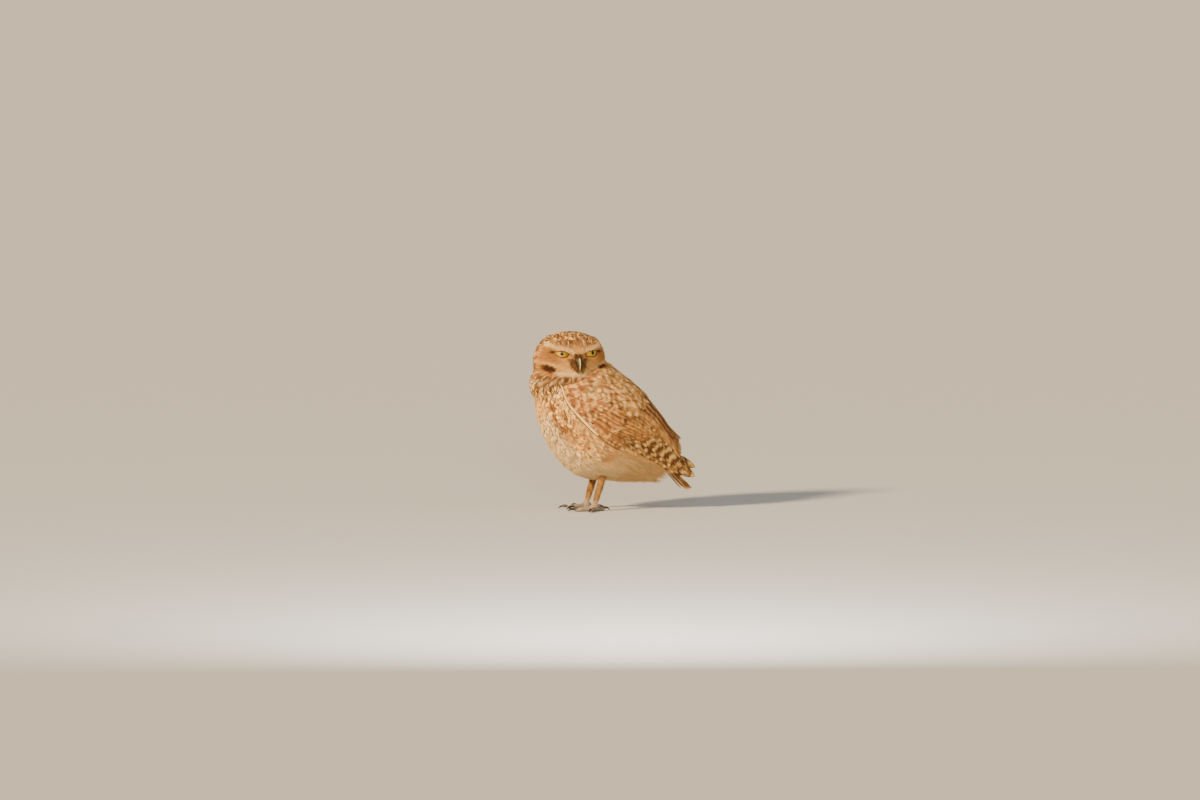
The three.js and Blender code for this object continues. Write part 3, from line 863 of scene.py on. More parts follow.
def small_patches(roots, places):
    """The bake map of tufts: each is a small patch at its root's place."""
    local = np.stack([places[..., 0] * 0.5, places[..., 1] - 0.5], axis=-1) * PATCH
    return bake_place(roots)[:, None, None, :] + local


def wide_patches(along, across, places):
    """The bake map of patterned vanes: each has a cell of its own, in order of the roots' places."""
    count = len(along)
    cells = math.ceil(math.sqrt(count))
    by_along = np.argsort(along, kind="stable")
    cell = np.empty((count, 2))
    for row in range(cells):
        members = by_along[row * cells:(row + 1) * cells]
        members = members[np.argsort(across[members], kind="stable")]
        cell[members, 0] = np.arange(len(members))
        cell[members, 1] = row
    local = np.stack([0.5 + places[..., 0] * 0.4, 0.06 + places[..., 1] * 0.88], axis=-1)
    return (cell[:, None, None, :] + local) / cells


def spines(tree, roots, directions, lengths, heights, rows):
    """Centre lines over a surface, as (feather, row, xyz), with normals, from roots at heights over it."""
    p0, n0 = nearest(tree, roots)
    on, around = body_place(p0)
    facing_back = ramp(n0 @ ALONG, 0.78, 0.92) * (np.abs(around) > 1.5)
    facing_back = facing_back * ramp(on, WING_END - 14, WING_END - 7)
    t0 = unit(mix(tangent(directions, n0), LEVEL_BACK, facing_back[:, None]))
    p1, n1 = nearest(tree, p0 + t0 * lengths[:, None] * 0.5)
    t1 = tangent(p1 - p0, n1)
    p2, n2 = nearest(tree, p1 + t1 * lengths[:, None] * 0.5)
    # Near the rear end they run on straight, out past the skin
    out = (ramp(on, 108, 128) * (tree is body_tree))[:, None]
    p1, n1 = mix(p1, p0 + t0 * lengths[:, None] * 0.5, out), mix(n1, n0, out)
    p2, n2 = mix(p2, p0 + t0 * lengths[:, None], out), mix(n2, n0, out)
    h = heights[:, :, None]
    a, b, c = p0 + n0 * h[:, 0], p1 + n1 * h[:, 1], p2 + n2 * h[:, 2]
    v = np.linspace(0, 1, rows)[None, :, None]
    line = a[:, None] * (1 - v) * (1 - 2 * v) + b[:, None] * 4 * v * (1 - v) + c[:, None] * v * (2 * v - 1)
    normal = unit(mix(n0[:, None], n2[:, None], v))
    return line, normal


def frames_along(line, normal):
    """(side, up) directions across centre lines."""
    way = unit(np.gradient(line, axis=1))
    side = unit(np.cross(way, normal))
    return side, np.cross(side, way)


def sampled(values, share):
    """Values given at rows, (feather, row, xyz), read at shares from 0 to 1, (feather, ...)."""
    rows = values.shape[1]
    index = np.clip(share, 0, 1) * (rows - 1)
    low = np.clip(np.floor(index).astype(int), 0, rows - 2)
    part = (index - low)[..., None]
    which = np.arange(len(values)).reshape((-1,) + (1,) * (share.ndim - 1))
    return mix(values[which, low], values[which, low + 1], part)


def vanes(line, normal, half, width_at_share, columns, camber=0.16, thick=0.12, fray=0.2, tip_fray=0.0,
          groove=0.0, tilt=None):
    """Closed thin feathers: rings (feather, row, corner, xyz) and places across, -1 to 1, and along, 0 to 1.

    The tip's columns end unevenly by tip_fray, the edges by fray, and groove parts the barbs.
    """
    count, rows = line.shape[:2]
    side, up = frames_along(line, normal)
    u = np.concatenate([np.linspace(-1, 1, columns), [0.0]])[None, None, :]
    v = np.linspace(0, 1, rows)[None, :, None]
    ends = 1 - tip_fray * rng.random((count, 1, columns + 1))
    share = v * ends
    ragged = 1 - fray * rng.random((count, rows, columns + 1)) * np.abs(u) ** 2
    wide = per_feather(half) * width_at_share(v)
    reach = wide * u * ragged
    rise = camber * wide * (1 - u**2)
    strand = np.where(np.arange(columns + 1) % 2 == 0, 1.0, -1.0)
    strand = strand + rng.normal(0, 0.6, (count, 1, columns + 1))
    rise = rise + groove * MM * strand * v
    rise[..., -1] -= thick * MM * (0.3 + 0.7 * width_at_share(v)[..., 0])
    if tilt is not None:
        rise = rise + per_feather(tilt) * reach
    rings = (sampled(line, share) + sampled(side, share) * reach[..., None]
             + sampled(up, share) * rise[..., None])
    places = np.stack(np.broadcast_arrays(u, share), axis=-1)
    return rings, places


def locks(line, normal, count, spread, radius, flat, bend=0.35):
    """Each centre line becomes a tuft of thin three-sided locks that fan out and end in points."""
    tufts, rows = line.shape[:2]
    side, up = frames_along(line, normal)
    fan = np.linspace(-1, 1, count)[None, :] * (count > 1) + rng.normal(0, 0.3, (tufts, count))
    bow = rng.normal(0, bend, (tufts, count))
    lift = rng.normal(0, bend, (tufts, count))
    v = np.linspace(0, 1, rows)
    share = v * (0.7 + 0.3 * rng.random((tufts, count)))[..., None]
    across = per_feather(spread) * (fan[..., None] * (0.25 + 0.75 * share) + 0.5 * bow[..., None] * share**2)
    over = per_feather(spread) * lift[..., None] * share * 0.5
    centre = (sampled(line, share) + sampled(side, share) * across[..., None]
              + sampled(up, share) * over[..., None])
    r = per_feather(radius) * (1 - 0.94 * v**1.5) * (0.5 + 0.5 * np.sqrt(v))
    corners = np.array([[1.0, 0.0], [-1.0, 0.0], [0.0, 1.0]])
    rings = (centre[..., None, :]
             + sampled(side, share)[..., None, :] * (r[..., None] * corners[:, 0])[..., None]
             + sampled(up, share)[..., None, :] * (flat * r[..., None] * corners[:, 1])[..., None])
    rings = rings.reshape(tufts * count, rows, 3, 3)
    u = np.clip(fan, -1, 1)[..., None] * np.ones(rows)
    places = np.stack([u, share], axis=-1)[..., None, :] * np.ones((3, 1))
    return rings, places.reshape(tufts * count, rows, 3, 2)


def thinned(points, radii):
    """Which points to keep so that none is nearer than its radius to one kept before."""
    cell = radii.max()
    keys = np.floor(points / cell).astype(int).tolist()
    places = points.tolist()
    around = [(x, y, z) for x in (-1, 0, 1) for y in (-1, 0, 1) for z in (-1, 0, 1)]
    grid = {}
    kept = []
    for i, ((kx, ky, kz), radius) in enumerate(zip(keys, radii.tolist())):
        px, py, pz = places[i]
        limit = radius * radius
        near = (places[j] for x, y, z in around for j in grid.get((kx + x, ky + y, kz + z), ()))
        if all((px - q[0]) ** 2 + (py - q[1]) ** 2 + (pz - q[2]) ** 2 >= limit for q in near):
            grid.setdefault((kx, ky, kz), []).append(i)
            kept.append(i)
    return np.array(kept, int)


def scattered(mesh, density, seed):
    """Random points on a surface, that many for each square millimetre."""
    mesh.calc_loop_triangles()
    index = np.empty(len(mesh.loop_triangles) * 3, np.int32)
    mesh.loop_triangles.foreach_get("vertices", index)
    verts, _ = mesh_arrays(mesh)
    tri = verts[index.reshape(-1, 3)]
    area = np.linalg.norm(np.cross(tri[:, 1] - tri[:, 0], tri[:, 2] - tri[:, 0]), axis=1) / 2
    pick = np.random.default_rng(seed)
    count = int(area.sum() / MM**2 * density)
    t = tri[pick.choice(len(tri), count, p=area / area.sum())]
    a, b = pick.random((2, count, 1))
    flip = (a + b) > 1
    a, b = np.where(flip, 1 - a, a), np.where(flip, 1 - b, b)
    return t[:, 0] + a * (t[:, 1] - t[:, 0]) + b * (t[:, 2] - t[:, 0])


def lie(points):
    """The way the feathers point: back from the bill over the head, down the neck, then along the body."""
    left, front, up = head_place(points).T
    over = unit(head_place(points) - [0, 31, 2])
    turned = ramp(front, 12, -16)[:, None]
    over = unit(mix(over, np.array([0, -0.35, -1.0]), turned))
    side = np.sign(left)
    eye = np.stack([left - side * EYE_OUT, 0 * left, up - EYE_UP], axis=-1)
    near = bump_at(np.linalg.norm(eye, axis=1), 4, 9)[:, None] * ramp(front, 12, 18)[:, None]
    over = unit(mix(over, unit(eye), near * mix(0.85, 0.45, ramp(up, EYE_UP, EYE_UP + 3)[:, None])))
    head = over @ HEAD_AXES
    along, _ = body_place(points)
    body = mix(unit(ALONG + 0.45 * DOWN), ALONG, ramp(along, 10, 60)[:, None])
    leg = ramp(points[:, 2], 46 * MM, 34 * MM)[:, None] * ramp(along, 90, 70)[:, None]
    body = unit(mix(body, unit(0.35 * ALONG + DOWN), leg * 0.7))
    return unit(mix(body, head, ramp(up, HEAD_FOOT - 3, HEAD_FOOT + 5)[:, None]))


def face_share(front, up):
    """1 on the face's fine feathers, 0 on the rest of the head."""
    return ramp(front, 4, 16) * ramp(up, 22, 16)


def coat_sizes(points):
    """Length, width and gap between roots of the feathers at points, in millimetres."""
    along, angle = body_place(points)
    left, front, up = head_place(points).T
    belly = np.abs(angle)
    face = face_share(front, up)
    eye = np.hypot(np.abs(left) - EYE_OUT, up - EYE_UP)
    crown = ramp(front, -4, 10)
    head = [mix(mix(8.5, 5.6, crown), 4.4, face), mix(mix(3.4, 2.2, crown), 1.0, face),
            mix(mix(1.9, 1.35, crown), 0.95, face)]
    close = ramp(eye, 12, 6.5) * face
    brow = ramp(up, EYE_UP + 1, EYE_UP + 4)
    head = [mix(h, small, close) for h, small in zip(head, (mix(2.4, 4.2, brow), 0.8, 0.72))]
    grown_up = ramp(along, 0, 50)
    under = ramp(belly, 1.7, 2.2) * ramp(along, 40, 80)
    rear = ramp(along, 92, 130)
    back = ramp(belly, 1.6, 1.25)
    body = [mix(9.5, 13.5, grown_up) + 3.5 * under + 4 * rear * (1 - back),
            mix(4.0, 5.6, grown_up) + 2.4 * back, mix(1.95, 2.5, grown_up) + 1.5 * back]
    share = ramp(up, HEAD_FOOT - 6, HEAD_FOOT + 4)
    return [mix(b, h, share) for b, h in zip(body, head)]


def bare(points):
    """Where no feather of the coat grows: under the wings, on the eyes and on the bill."""
    along, angle = body_place(points)
    turned = np.abs(angle)
    top, low = wing_edges(np.clip(along, *WING_SPAN))
    _, normals = nearest(body_tree, points)
    over_edge = turned < low - 0.02
    under_wing = (along > 12 + 7 * ramp(turned, 1.5, 1.1)) & (turned > top + 0.12) & (along < WING_END - 5)
    cut_end = (along > WING_END - 8) & (along < WING_END + 3) & (normals @ ALONG > 0.6) & (turned < 1.6)
    covered = ((under_wing | (along > WINGS_MEET)) & over_edge) | cut_end
    for side in SIDES.values():
        x, y, z = eye_place(points, side)
        y = y - OPEN_SLOPE * x - (OPEN_TOP - OPEN_LOW) / 2
        tall = OPEN_TOP / 2 + OPEN_LOW / 2 + 0.8
        covered |= (np.hypot(x / (OPEN_WIDE + 1.1), y / tall) < 1) & (z > 0)
    x, y, z = (head_place(points) - [0, 30, 0.5]).T
    return covered | ((np.hypot(x / 2.2, z / 5.0) < 1) & (y > -8))


LEG_TOP = 26 * MM  # below this the legs have their own feathers

roots = scattered(skin.data, 2.4, 3)
roots = roots[roots[:, 2] > LEG_TOP]
roots, _ = nearest(body_tree, roots)
roots = roots[~bare(roots)]
length, width, gap = coat_sizes(roots)
kept = thinned(roots, gap * MM)
roots, length, width = roots[kept], length[kept], width[kept]
along, angle = body_place(roots)
left, front, up = head_place(roots).T
belly = np.abs(angle)


# The shapes of feathers, as their half width along them

def contour_shape(v):
    return np.sqrt(np.clip(v / 0.3, 0.02, 1)) * (1 - 0.72 * np.clip((v - 0.72) / 0.28, 0, 1) ** 2)


def round_shape(v):
    return (0.45 + 0.55 * ramp(v, 0, 0.3)) * np.sqrt(1 - 0.97 * np.clip((v - 0.7) / 0.3, 0, 1) ** 2)


def flight_shape(v):
    return (0.5 + 0.5 * ramp(v, 0, 0.35)) * np.sqrt(1 - 0.96 * np.clip((v - 0.86) / 0.14, 0, 1) ** 2)


# What is painted on each kind of feather, over the coat's mean colour at it

def weigh(base, paint, weight):
    return mix(base, paint, np.clip(weight, 0, 1)[..., None])


def spot(u, v, at_u, at_v, half, size, radius):
    """A round spot in millimetres on feathers of that half width and length."""
    across = (u - at_u) * per_feather(half)
    down = (v - at_v) * per_feather(size)
    return ramp(np.hypot(across, down * 0.85), radius + 0.9, radius - 0.7)


def toned(base, places, spread):
    """A colour for each corner, with every feather a little lighter or darker, and darker at its root."""
    tone = per_feather(rng.normal(1, spread, len(base))) * (0.80 + 0.24 * places[..., 1])
    return base[:, None, None, :] * tone[..., None]


def body_paint(base, chosen, places):
    u, v = places[..., 0], places[..., 1]
    n = len(base)
    pick = rng.random(n)
    c = toned(base, places, 0.05)
    strand = np.where(np.arange(places.shape[2]) % 2 == 0, 0.06, -0.08)
    strand = strand + rng.normal(0, 0.05, (n, 1, places.shape[2]))
    c = c * (1 + strand * ramp(v, 0.3, 0.8))[..., None]
    on, around = along[chosen], belly[chosen]
    chest = ramp(on, 46, 24) * ramp(around, 1.3, 1.6) * ramp(around, 2.8, 2.5)
    sides = ramp(on, 30, 44) * ramp(around, 2.45, 2.15) * ramp(around, 1.3, 1.6) * ramp(on, 112, 92)
    collar = ramp(up[chosen], HEAD_FOOT - 16, HEAD_FOOT - 7)
    back = ramp(around, 1.5, 1.25) * (1 - collar)
    # Brown marks over the chest, thinning out downwards, with pale tips
    plain = 1 - 0.9 * beside_wing(on, around)
    marked = per_feather(chest * plain * ramp(noise(roots[chosen], 4.5 * MM, 3) + 0.25 * chest, 0.46, 0.60))
    c = weigh(c, MID_BROWN, marked * bump_at(v, 0.84 - 0.06 * u**2, 0.12) * 0.8)
    c = weigh(c, WHITE_BUFF, per_feather(chest) * ramp(v, 0.93, 0.99) * 0.5)
    # Soft cinnamon bars on the flanks
    barred = per_feather(sides * (pick < 0.25))
    c = weigh(c, CINNAMON, barred * bump_at(v, 0.88 - 0.05 * u**2, 0.12) * 0.6)
    # The neck's feathers have pale middles between brown edges
    streak = per_feather(collar * (pick < 0.6))
    c = weigh(c, PALE_BUFF, streak * bump_at(u, 0, 0.45) * ramp(v, 0.5, 0.7) * 0.9)
    c = weigh(c, DARK_BROWN, per_feather(collar * (pick > 0.75)) * 0.45 * ramp(v, 0.4, 0.7))
    # Round pale spots on the back
    ring, middle = (spot(u, v, 0.1, 0.84, width[chosen] / 2, length[chosen], per_feather(radius))
                    for radius in (2.1 + 0.5 * pick + 0.8, 2.1 + 0.5 * pick))
    c = weigh(c, DARK_BROWN, per_feather(back) * ring * 0.5)
    return weigh(c, SPOT_BUFF, per_feather(back * (pick < 0.8)) * middle * 0.95)


def crown_paint(base, chosen, places):
    u, v = places[..., 0], places[..., 1]
    pick = rng.random(len(base))
    c = toned(base, places, 0.12)
    top = np.clip(ramp(front[chosen], 30, 18) * ramp(up[chosen], 8, 16) + ramp(front[chosen], 6, -4), 0, 1)
    pale = per_feather(top * (pick < 0.40)) * bump_at(u, 0, 0.6) * bump_at(v, 0.84, 0.15)
    c = weigh(c, PALE_BUFF, pale * 0.95)
    return weigh(c, DARK_BROWN, per_feather(top * (pick > 0.62)) * ramp(v, 0.5, 0.8) * 0.6)


def vane_places(places, half, size):
    """Places on feathers in millimetres, from their half width and length."""
    return places * np.stack(np.broadcast_arrays(half, size), axis=-1).reshape(-1, 1, 1, 2)


def contour_piece(name, chosen, slot_name, paint, columns):
    """Soft feathers with uneven tips over the body, for the chosen roots."""
    where, size, half = roots[chosen], length[chosen] * MM, width[chosen] * MM / 2
    n = len(where)
    size = size * rng.uniform(0.85, 1.15, n)
    depth = coat_depth(where)
    heights = np.stack([-0.85 * depth, -0.40 * depth, rng.uniform(-0.06, 0.08, n) * depth], axis=-1)
    turn = rng.normal(0, 0.10, (n, 3))
    # The neck's feathers lie over the wings' first rows
    on, around = body_place(where)
    over = ramp(on, 5, 12) * ramp(on, 60, 40) * ramp(np.abs(around), 1.6, 1.3)
    size = size * (1 + 0.3 * over)
    heights = heights + MM * over[:, None] * [0.4, 1.2, 1.5]
    line, normal = spines(body_tree, where, unit(lie(where) + turn), size, heights, 8)
    rings, places = vanes(line, normal, half, contour_shape, columns, camber=0.10, fray=0.40, tip_fray=0.38,
                          groove=0.10)
    colours = paint(coat_colour(line[:, 5]), chosen, places)
    vane = vane_places(places, half / MM, size / MM)
    return finish_piece(tubes(name, rings, colours, vane, small_patches(where, places)), SOFT, slot_name)


def lock_piece(name, slot_name, line, normal, where, count, spread, radius, flat, long, base_of, tone,
               bend=0.35):
    """Tufts of that many locks along centre lines; base_of gives a colour for each tuft or each lock."""
    spread, radius, long = (np.broadcast_to(value, len(line)) for value in (spread, radius, long))
    rings, places = locks(line, normal, count, spread, radius, flat, bend)
    base = base_of()
    colours = toned(np.repeat(base, len(rings) // len(base), axis=0), places, tone)
    bake = small_patches(np.repeat(where, count, axis=0), places)
    vane = vane_places(places, 0.3, np.repeat(long, count))
    return finish_piece(tubes(name, rings, colours, vane, bake), SOFT, slot_name)


def tuft_piece(name, tree, where, ways, size, half, depth, count, slot_name, stout, base_at, lift):
    """Hair-like tufts of pointed locks over a surface."""
    n = len(where)
    size = size * rng.uniform(0.8, 1.2, n)
    heights = np.stack([-0.8 * depth, -0.3 * depth, rng.uniform(-0.1, lift, n) * depth], axis=-1)
    heights = heights + (coat_lift(where) * (tree is body_tree))[:, None]
    line, normal = spines(tree, where, unit(ways + rng.normal(0, 0.14, (n, 3))), size, heights, 5)
    return lock_piece(name, slot_name, line, normal, where, count, half, half * stout, 0.6, size / MM,
                      lambda: base_at(line[:, -2]), 0.08)


def field_tufts(name, chosen, count, slot_name, stout, spread, lift):
    """Tufts at the chosen roots, in the coat's colours."""
    where = roots[chosen]
    half = width[chosen] * MM / 2 * spread
    size = length[chosen] * MM
    return tuft_piece(name, body_tree, where, lie(where), size, half, coat_depth(where), count, slot_name,
                      stout, coat_colour, lift)


is_head = up > HEAD_FOOT
face_part = is_head & (face_share(front, up) > 0.35)
crown_part = is_head & ~face_part
soft_share = 0.45 * ramp(along, 12, 28) * ramp(belly, 1.3, 1.6)
soft_share = np.maximum(soft_share, ramp(belly, 1.5, 2.0) * ramp(along, 36, 76))
soft_share = np.maximum(soft_share, ramp(along, 86, 102) * ramp(belly, 1.35, 1.6))
soft_part = ~is_head & (rng.random(len(roots)) < soft_share)
body_part = ~is_head & ~soft_part
for side_name, side_sign in SIDES.items():
    on_side = np.sign(left) == -side_sign
    field_tufts(f"face_feathers_{side_name}", face_part & on_side, 4, "head_feathers", 0.33, 1.0, 0.35)
    on_side = np.sign(angle) == side_sign
    contour_piece(f"body_feathers_{side_name}", body_part & on_side, "body_feathers", body_paint, 9)
    field_tufts(f"belly_feathers_{side_name}", soft_part & on_side, 11, "body_feathers", 0.095, 1.1, 0.6)
contour_piece("crown_feathers", crown_part, "head_feathers", crown_paint, 5)


# Long soft feathers under the tail, which end in a loose fringe

def vent_piece():
    where = roots[soft_part & (along > 104) & (belly > 2.0)]
    n = len(where)
    count = 9
    first, normal = nearest(body_tree, where)
    way = tangent(np.broadcast_to(unit(ALONG + 0.08 * DOWN), first.shape), normal)
    way = unit(mix(way, LEVEL_BACK, mix(0.12, 1.0, ramp(normal @ ALONG, 0.75, 0.92))[:, None]))
    long = MM * rng.uniform(13, 21, n)[:, None]
    v = np.linspace(0, 1, 6)[None, :, None]
    line = first[:, None] - MM * 1.2 * normal[:, None] * (1 - v) + (way * long)[:, None] * v
    line = line + MM * 1.0 * v**2 * DOWN
    normals = np.broadcast_to(normal[:, None], line.shape)

    def base_of():
        base = np.repeat(mix(BUFF, WHITE_BUFF, rng.random((n, 1)) * 0.8), count, axis=0)
        return base * rng.uniform(0.6, 0.9, (count * n, 1))

    return lock_piece("vent_feathers", "body_feathers", line, normals, where, count, 4.2 * MM, 0.26 * MM,
                      0.7, 16.0, base_of, 0.06, bend=0.5)


vent_piece()


# Fine short feathers that ring each eye and hide the lids' bare skin

def over_skin(origin, ways):
    """How far the skin's outer side is from an origin along unit ways, in metres."""
    reach = 30 * MM
    hits = [skin_tree.ray_cast(Vector(origin + w * reach), Vector(-w))[3] for w in ways.reshape(-1, 3)]
    far = [reach - hit if hit is not None else 0.0 for hit in hits]
    return np.array(far).reshape(ways.shape[:-1])


def eye_ring(side_name):
    side = SIDES[side_name]
    centre, axes = eye_frame(side)
    n = 560
    turn = rng.uniform(0, 2 * np.pi, n)
    beyond = rng.uniform(0.3, 3.6, n)
    tall = np.where(np.sin(turn) > 0, OPEN_TOP, OPEN_LOW) + beyond
    x = (OPEN_WIDE + beyond) * np.cos(turn)
    y = tall * np.sin(turn) + OPEN_SLOPE * x
    way = unit(np.stack([x + 2.2, y * np.where(y > 0, 1.6, 1.2)], axis=-1))
    long = rng.uniform(2.0, 3.4, n)[:, None]
    v = np.linspace(0, 1, 5)
    px, py = x[:, None] + way[:, :1] * long * v, y[:, None] + way[:, 1:] * long * v
    polar = np.arctan2(np.hypot(px, py), EYE_RADIUS * 0.85)
    normal = polar_way(np.arctan2(py, px), polar) @ axes
    far = over_skin(centre, normal)
    keep = far.min(axis=1) > EYE_RADIUS * 0.6 * MM
    far = far[keep] + MM * mix(-0.25, 0.45, v)
    normal = normal[keep]
    line = centre + far[..., None] * normal
    return lock_piece(f"eye_ring_{side_name}", "head_feathers", line, normal, line[:, 0], 3, 0.35 * MM,
                      0.11 * MM, 0.7, 3.0, lambda: coat_colour(line[:, -1]), 0.08)


for side_name in SIDES:
    eye_ring(side_name)


# Bristles that hang beside the bill, and short feathers on the legs

def bill_bristles():
    """Bristles that close round the bill: from both its sides, and down over its base from the forehead."""
    beside, above = 330, 110
    n = beside + above
    side = rng.choice([-1.0, 1.0], n)
    top = (np.arange(n) >= beside).astype(float)
    start_up = mix(rng.uniform(-5.5, 5.5, n), rng.uniform(7.0, 10.5, n), top)
    widest = mix(4.0, 8.0, ramp(start_up, -5.5, 3.5))
    start_left = side * mix(mix(2.0, widest, rng.random(n)), rng.uniform(0.0, 4.2, n), top)
    where, _ = nearest(body_tree, head_point(start_left, 30.0, start_up))
    placed = head_place(where)
    first = where - MM * 0.8 * FRONT
    near_bill = side * mix(np.abs(placed[:, 0]), 2.3, 0.6)
    last_left = mix(near_bill, placed[:, 0] * 0.75, top)
    last_front = mix(placed[:, 1] + rng.uniform(2.5, 6.5, n), rng.uniform(33.5, 36.2, n), top)
    last_up = mix(placed[:, 2] - rng.uniform(2.5, 5.5, n), rng.uniform(4.6, 7.2, n), top)
    last = head_point(last_left, last_front, last_up)
    middle = (first + last) / 2 + MM * mix(1.0, 2.2, top)[:, None] * (FRONT + np.array([0, 0, 0.5]))
    v = np.linspace(0, 1, 6)[None, :, None]
    line = bezier(first[:, None], middle[:, None], last[:, None], v)
    normal = np.broadcast_to(FRONT, line.shape)
    return lock_piece("bill_bristles", "head_feathers", line, normal, where, 3, 0.8 * MM, 0.15 * MM, 0.8,
                      6.0, lambda: mix(DARK_BROWN, OLIVE_TAN, rng.random(n)[:, None] ** 2 * 0.6), 0.15)


bill_bristles()


def leg_colour(points):
    fine = noise(points, 2.2 * MM, 8)[:, None]
    # Above the feet the legs are mottled brown and buff, darkened as painted shade under the body
    upper = mix(MID_BROWN * 0.5, BUFF * 0.62, fine)
    return mix(mix(TOE_PALE, BUFF, 0.4), upper, ramp(points[:, 2], 6 * MM, 14 * MM)[:, None])


def leg_feathers():
    """Short feathers that hang down the legs and point away from their middle on the feet."""
    where = scattered(leg_hull, 3.0, 5)
    height = where[:, 2] / MM
    keep = (height > 2.2) & ((height > 9) | (rng.random(len(height)) < 0.35)) & (height < 44)
    where, normals = nearest(leg_tree, where[keep])
    where = where[normals[:, 2] > -0.3]
    where = where[thinned(where, MM * mix(1.5, 1.0, ramp(where[:, 2] / MM, 6, 12)))]
    height = where[:, 2] / MM
    off_foot = where - ORIGIN - [FOOT_X, 0, 0]
    off_foot[:, 1] -= np.sign(where[:, 1]) * FOOT_SPREAD
    off_foot[:, 2] = 0
    ways = unit(mix(unit(off_foot), DOWN, ramp(height, 5, 10)[:, None]))
    grown_up = ramp(height, 6, 12)
    size, half, depth = (MM * mix(on_foot, above, grown_up)
                         for on_foot, above in ((1.8, 4.2), (0.22, 0.95), (0.15, 0.75)))
    tuft_piece("leg_feathers", leg_tree, where, ways, size, half, depth, 4, "leg_feathers", 0.24,
               leg_colour, 0.9)


leg_feathers()


# Wings: rows of vanes from the lowest layer to the topmost

def wing_lines(side, starts, ends, rows, bow):
    """Centre lines on a wing from (along, share, out) at the root to the same at the tip."""
    v = np.linspace(0, 1, rows)[None, :]
    s, q, out = (mix(starts[:, i, None], ends[:, i, None], v) for i in range(3))
    out = out + bow * 4 * v * (1 - v)
    plain = wing_point(s, q, side)
    by_s = wing_point(s + 0.5, q, side) - wing_point(s - 0.5, q, side)
    by_q = wing_point(s, q + 0.02, side) - wing_point(s, q - 0.02, side)
    normal = unit(np.cross(by_s, by_q)) * side
    # Where the hull is, the feathers ride on it
    on_hull, hull_normal = nearest(body_tree, plain.reshape(-1, 3))
    share = ramp(s, WING_END - 6, WING_END - 24)[..., None]
    place = mix(plain, on_hull.reshape(plain.shape), share)
    normal = unit(mix(normal, hull_normal.reshape(plain.shape), share))
    line = place + MM * out[..., None] * normal
    for _ in range(8):
        line[:, 1:-1] = (line[:, :-2] + 2 * line[:, 1:-1] + line[:, 2:]) / 4
        normal[:, 1:-1] = unit(normal[:, :-2] + 2 * normal[:, 1:-1] + normal[:, 2:])
    return line, normal


def line_lengths(line):
    """The lengths of centre lines in millimetres."""
    return np.linalg.norm(np.diff(line, axis=1), axis=2).sum(axis=1) / MM


def flight_paint(places, half, size, low_way):
    """Brown with buff bars that slope back from the shaft, dark at their edges, and a pale fringe."""
    u, v = places[..., 0], places[..., 1]
    n = len(half)
    low = u * per_feather(low_way)
    millimetres = v * per_feather(size) + np.abs(u) * 2.6 + per_feather(rng.uniform(0, 5, n))
    phase = (millimetres / 11.5) % 1
    bar = ramp(phase, 0.08, 0.2) * ramp(phase, 0.52, 0.38)
    edge = ramp(phase, 0.0, 0.1) * ramp(phase, 0.66, 0.5)
    c = toned(np.tile(FLIGHT_BROWN * 0.7, (n, 1)), places, 0.05)
    c = weigh(c, DARK_BROWN, edge * 0.9)
    c = weigh(c, PALE_BUFF, bar * mix(0.6, 1.0, ramp(low, -0.2, 0.25)))
    c = weigh(c, DARK_BROWN, bump_at(u, 0, 0.07) * 0.6)
    return weigh(c, PALE_BUFF, ramp(v, 0.955, 0.985) * 0.8)


def spotted(rows_of_spots, spot_radius, base_from, base_to, edge_pale):
    """A way to paint: brown with round pale spots, more often on the lower half, each ringed darker."""

    def paint(places, half, size, low_way):
        u, v = places[..., 0], places[..., 1]
        n = len(half)
        c = toned(mix(base_from, base_to, rng.random((n, 1))), places, 0.07)
        c = weigh(c, DARK_BROWN, (bump_at(u, 0, 0.12) + 0.6 * ramp(np.abs(u), 0.75, 1)) * 0.5)
        for at_v in rows_of_spots:
            for at_u, often in ((0.45, 0.8), (-0.45, 0.35)):
                own = per_feather(spot_radius * rng.uniform(0.7, 1.3, n) * (rng.random(n) < often) - 0.4)
                down = per_feather(rng.normal(0, 0.06, n)) + at_v
                across = per_feather(at_u * low_way + rng.normal(0, 0.12, n))
                ring, middle = (spot(u, v, across, down, half, size, radius) for radius in (own + 0.9, own))
                c = weigh(c, DARK_BROWN, ring * 0.35)
                c = weigh(c, SPOT_BUFF, middle * per_feather(rng.uniform(0.35, 0.85, n)))
        return weigh(c, PALE_BUFF, ramp(v, 0.93, 0.99) * edge_pale)

    return paint


def coverts_paint(places, half, size, _low_way):
    """Brown with a darker middle, pale edges that break into notches, and a pale tip."""
    u, v = places[..., 0], places[..., 1]
    n = len(half)
    c = toned(mix(FLIGHT_BROWN, WARM_BROWN, rng.random((n, 1))), places, 0.08)
    millimetres = v * per_feather(size) + np.abs(u) * 3 + per_feather(rng.uniform(0, 8, n))
    phase = (millimetres / 7.5) % 1
    notch = ramp(phase, 0.1, 0.35) * ramp(phase, 0.85, 0.6)
    outer = ramp(np.abs(u), 0.35, 0.75)
    c = weigh(c, DARK_BROWN, bump_at(u, 0, 0.35) * per_feather(rng.uniform(0.3, 0.8, n)))
    c = weigh(c, DARK_BROWN, (1 - notch) * outer * 0.3)
    c = weigh(c, TAN, outer * per_feather(rng.uniform(0.3, 0.9, n)) * mix(0.6, 1.0, notch))
    return weigh(c, PALE_BUFF, ramp(v, 0.93, 0.98) * 0.6)


def margin_paint(places, half, _size, _low_way):
    base = mix(WHITE_BUFF, PALE_BUFF, rng.uniform(0.1, 0.7, (len(half), 1)))
    return toned(base, places, 0.05)


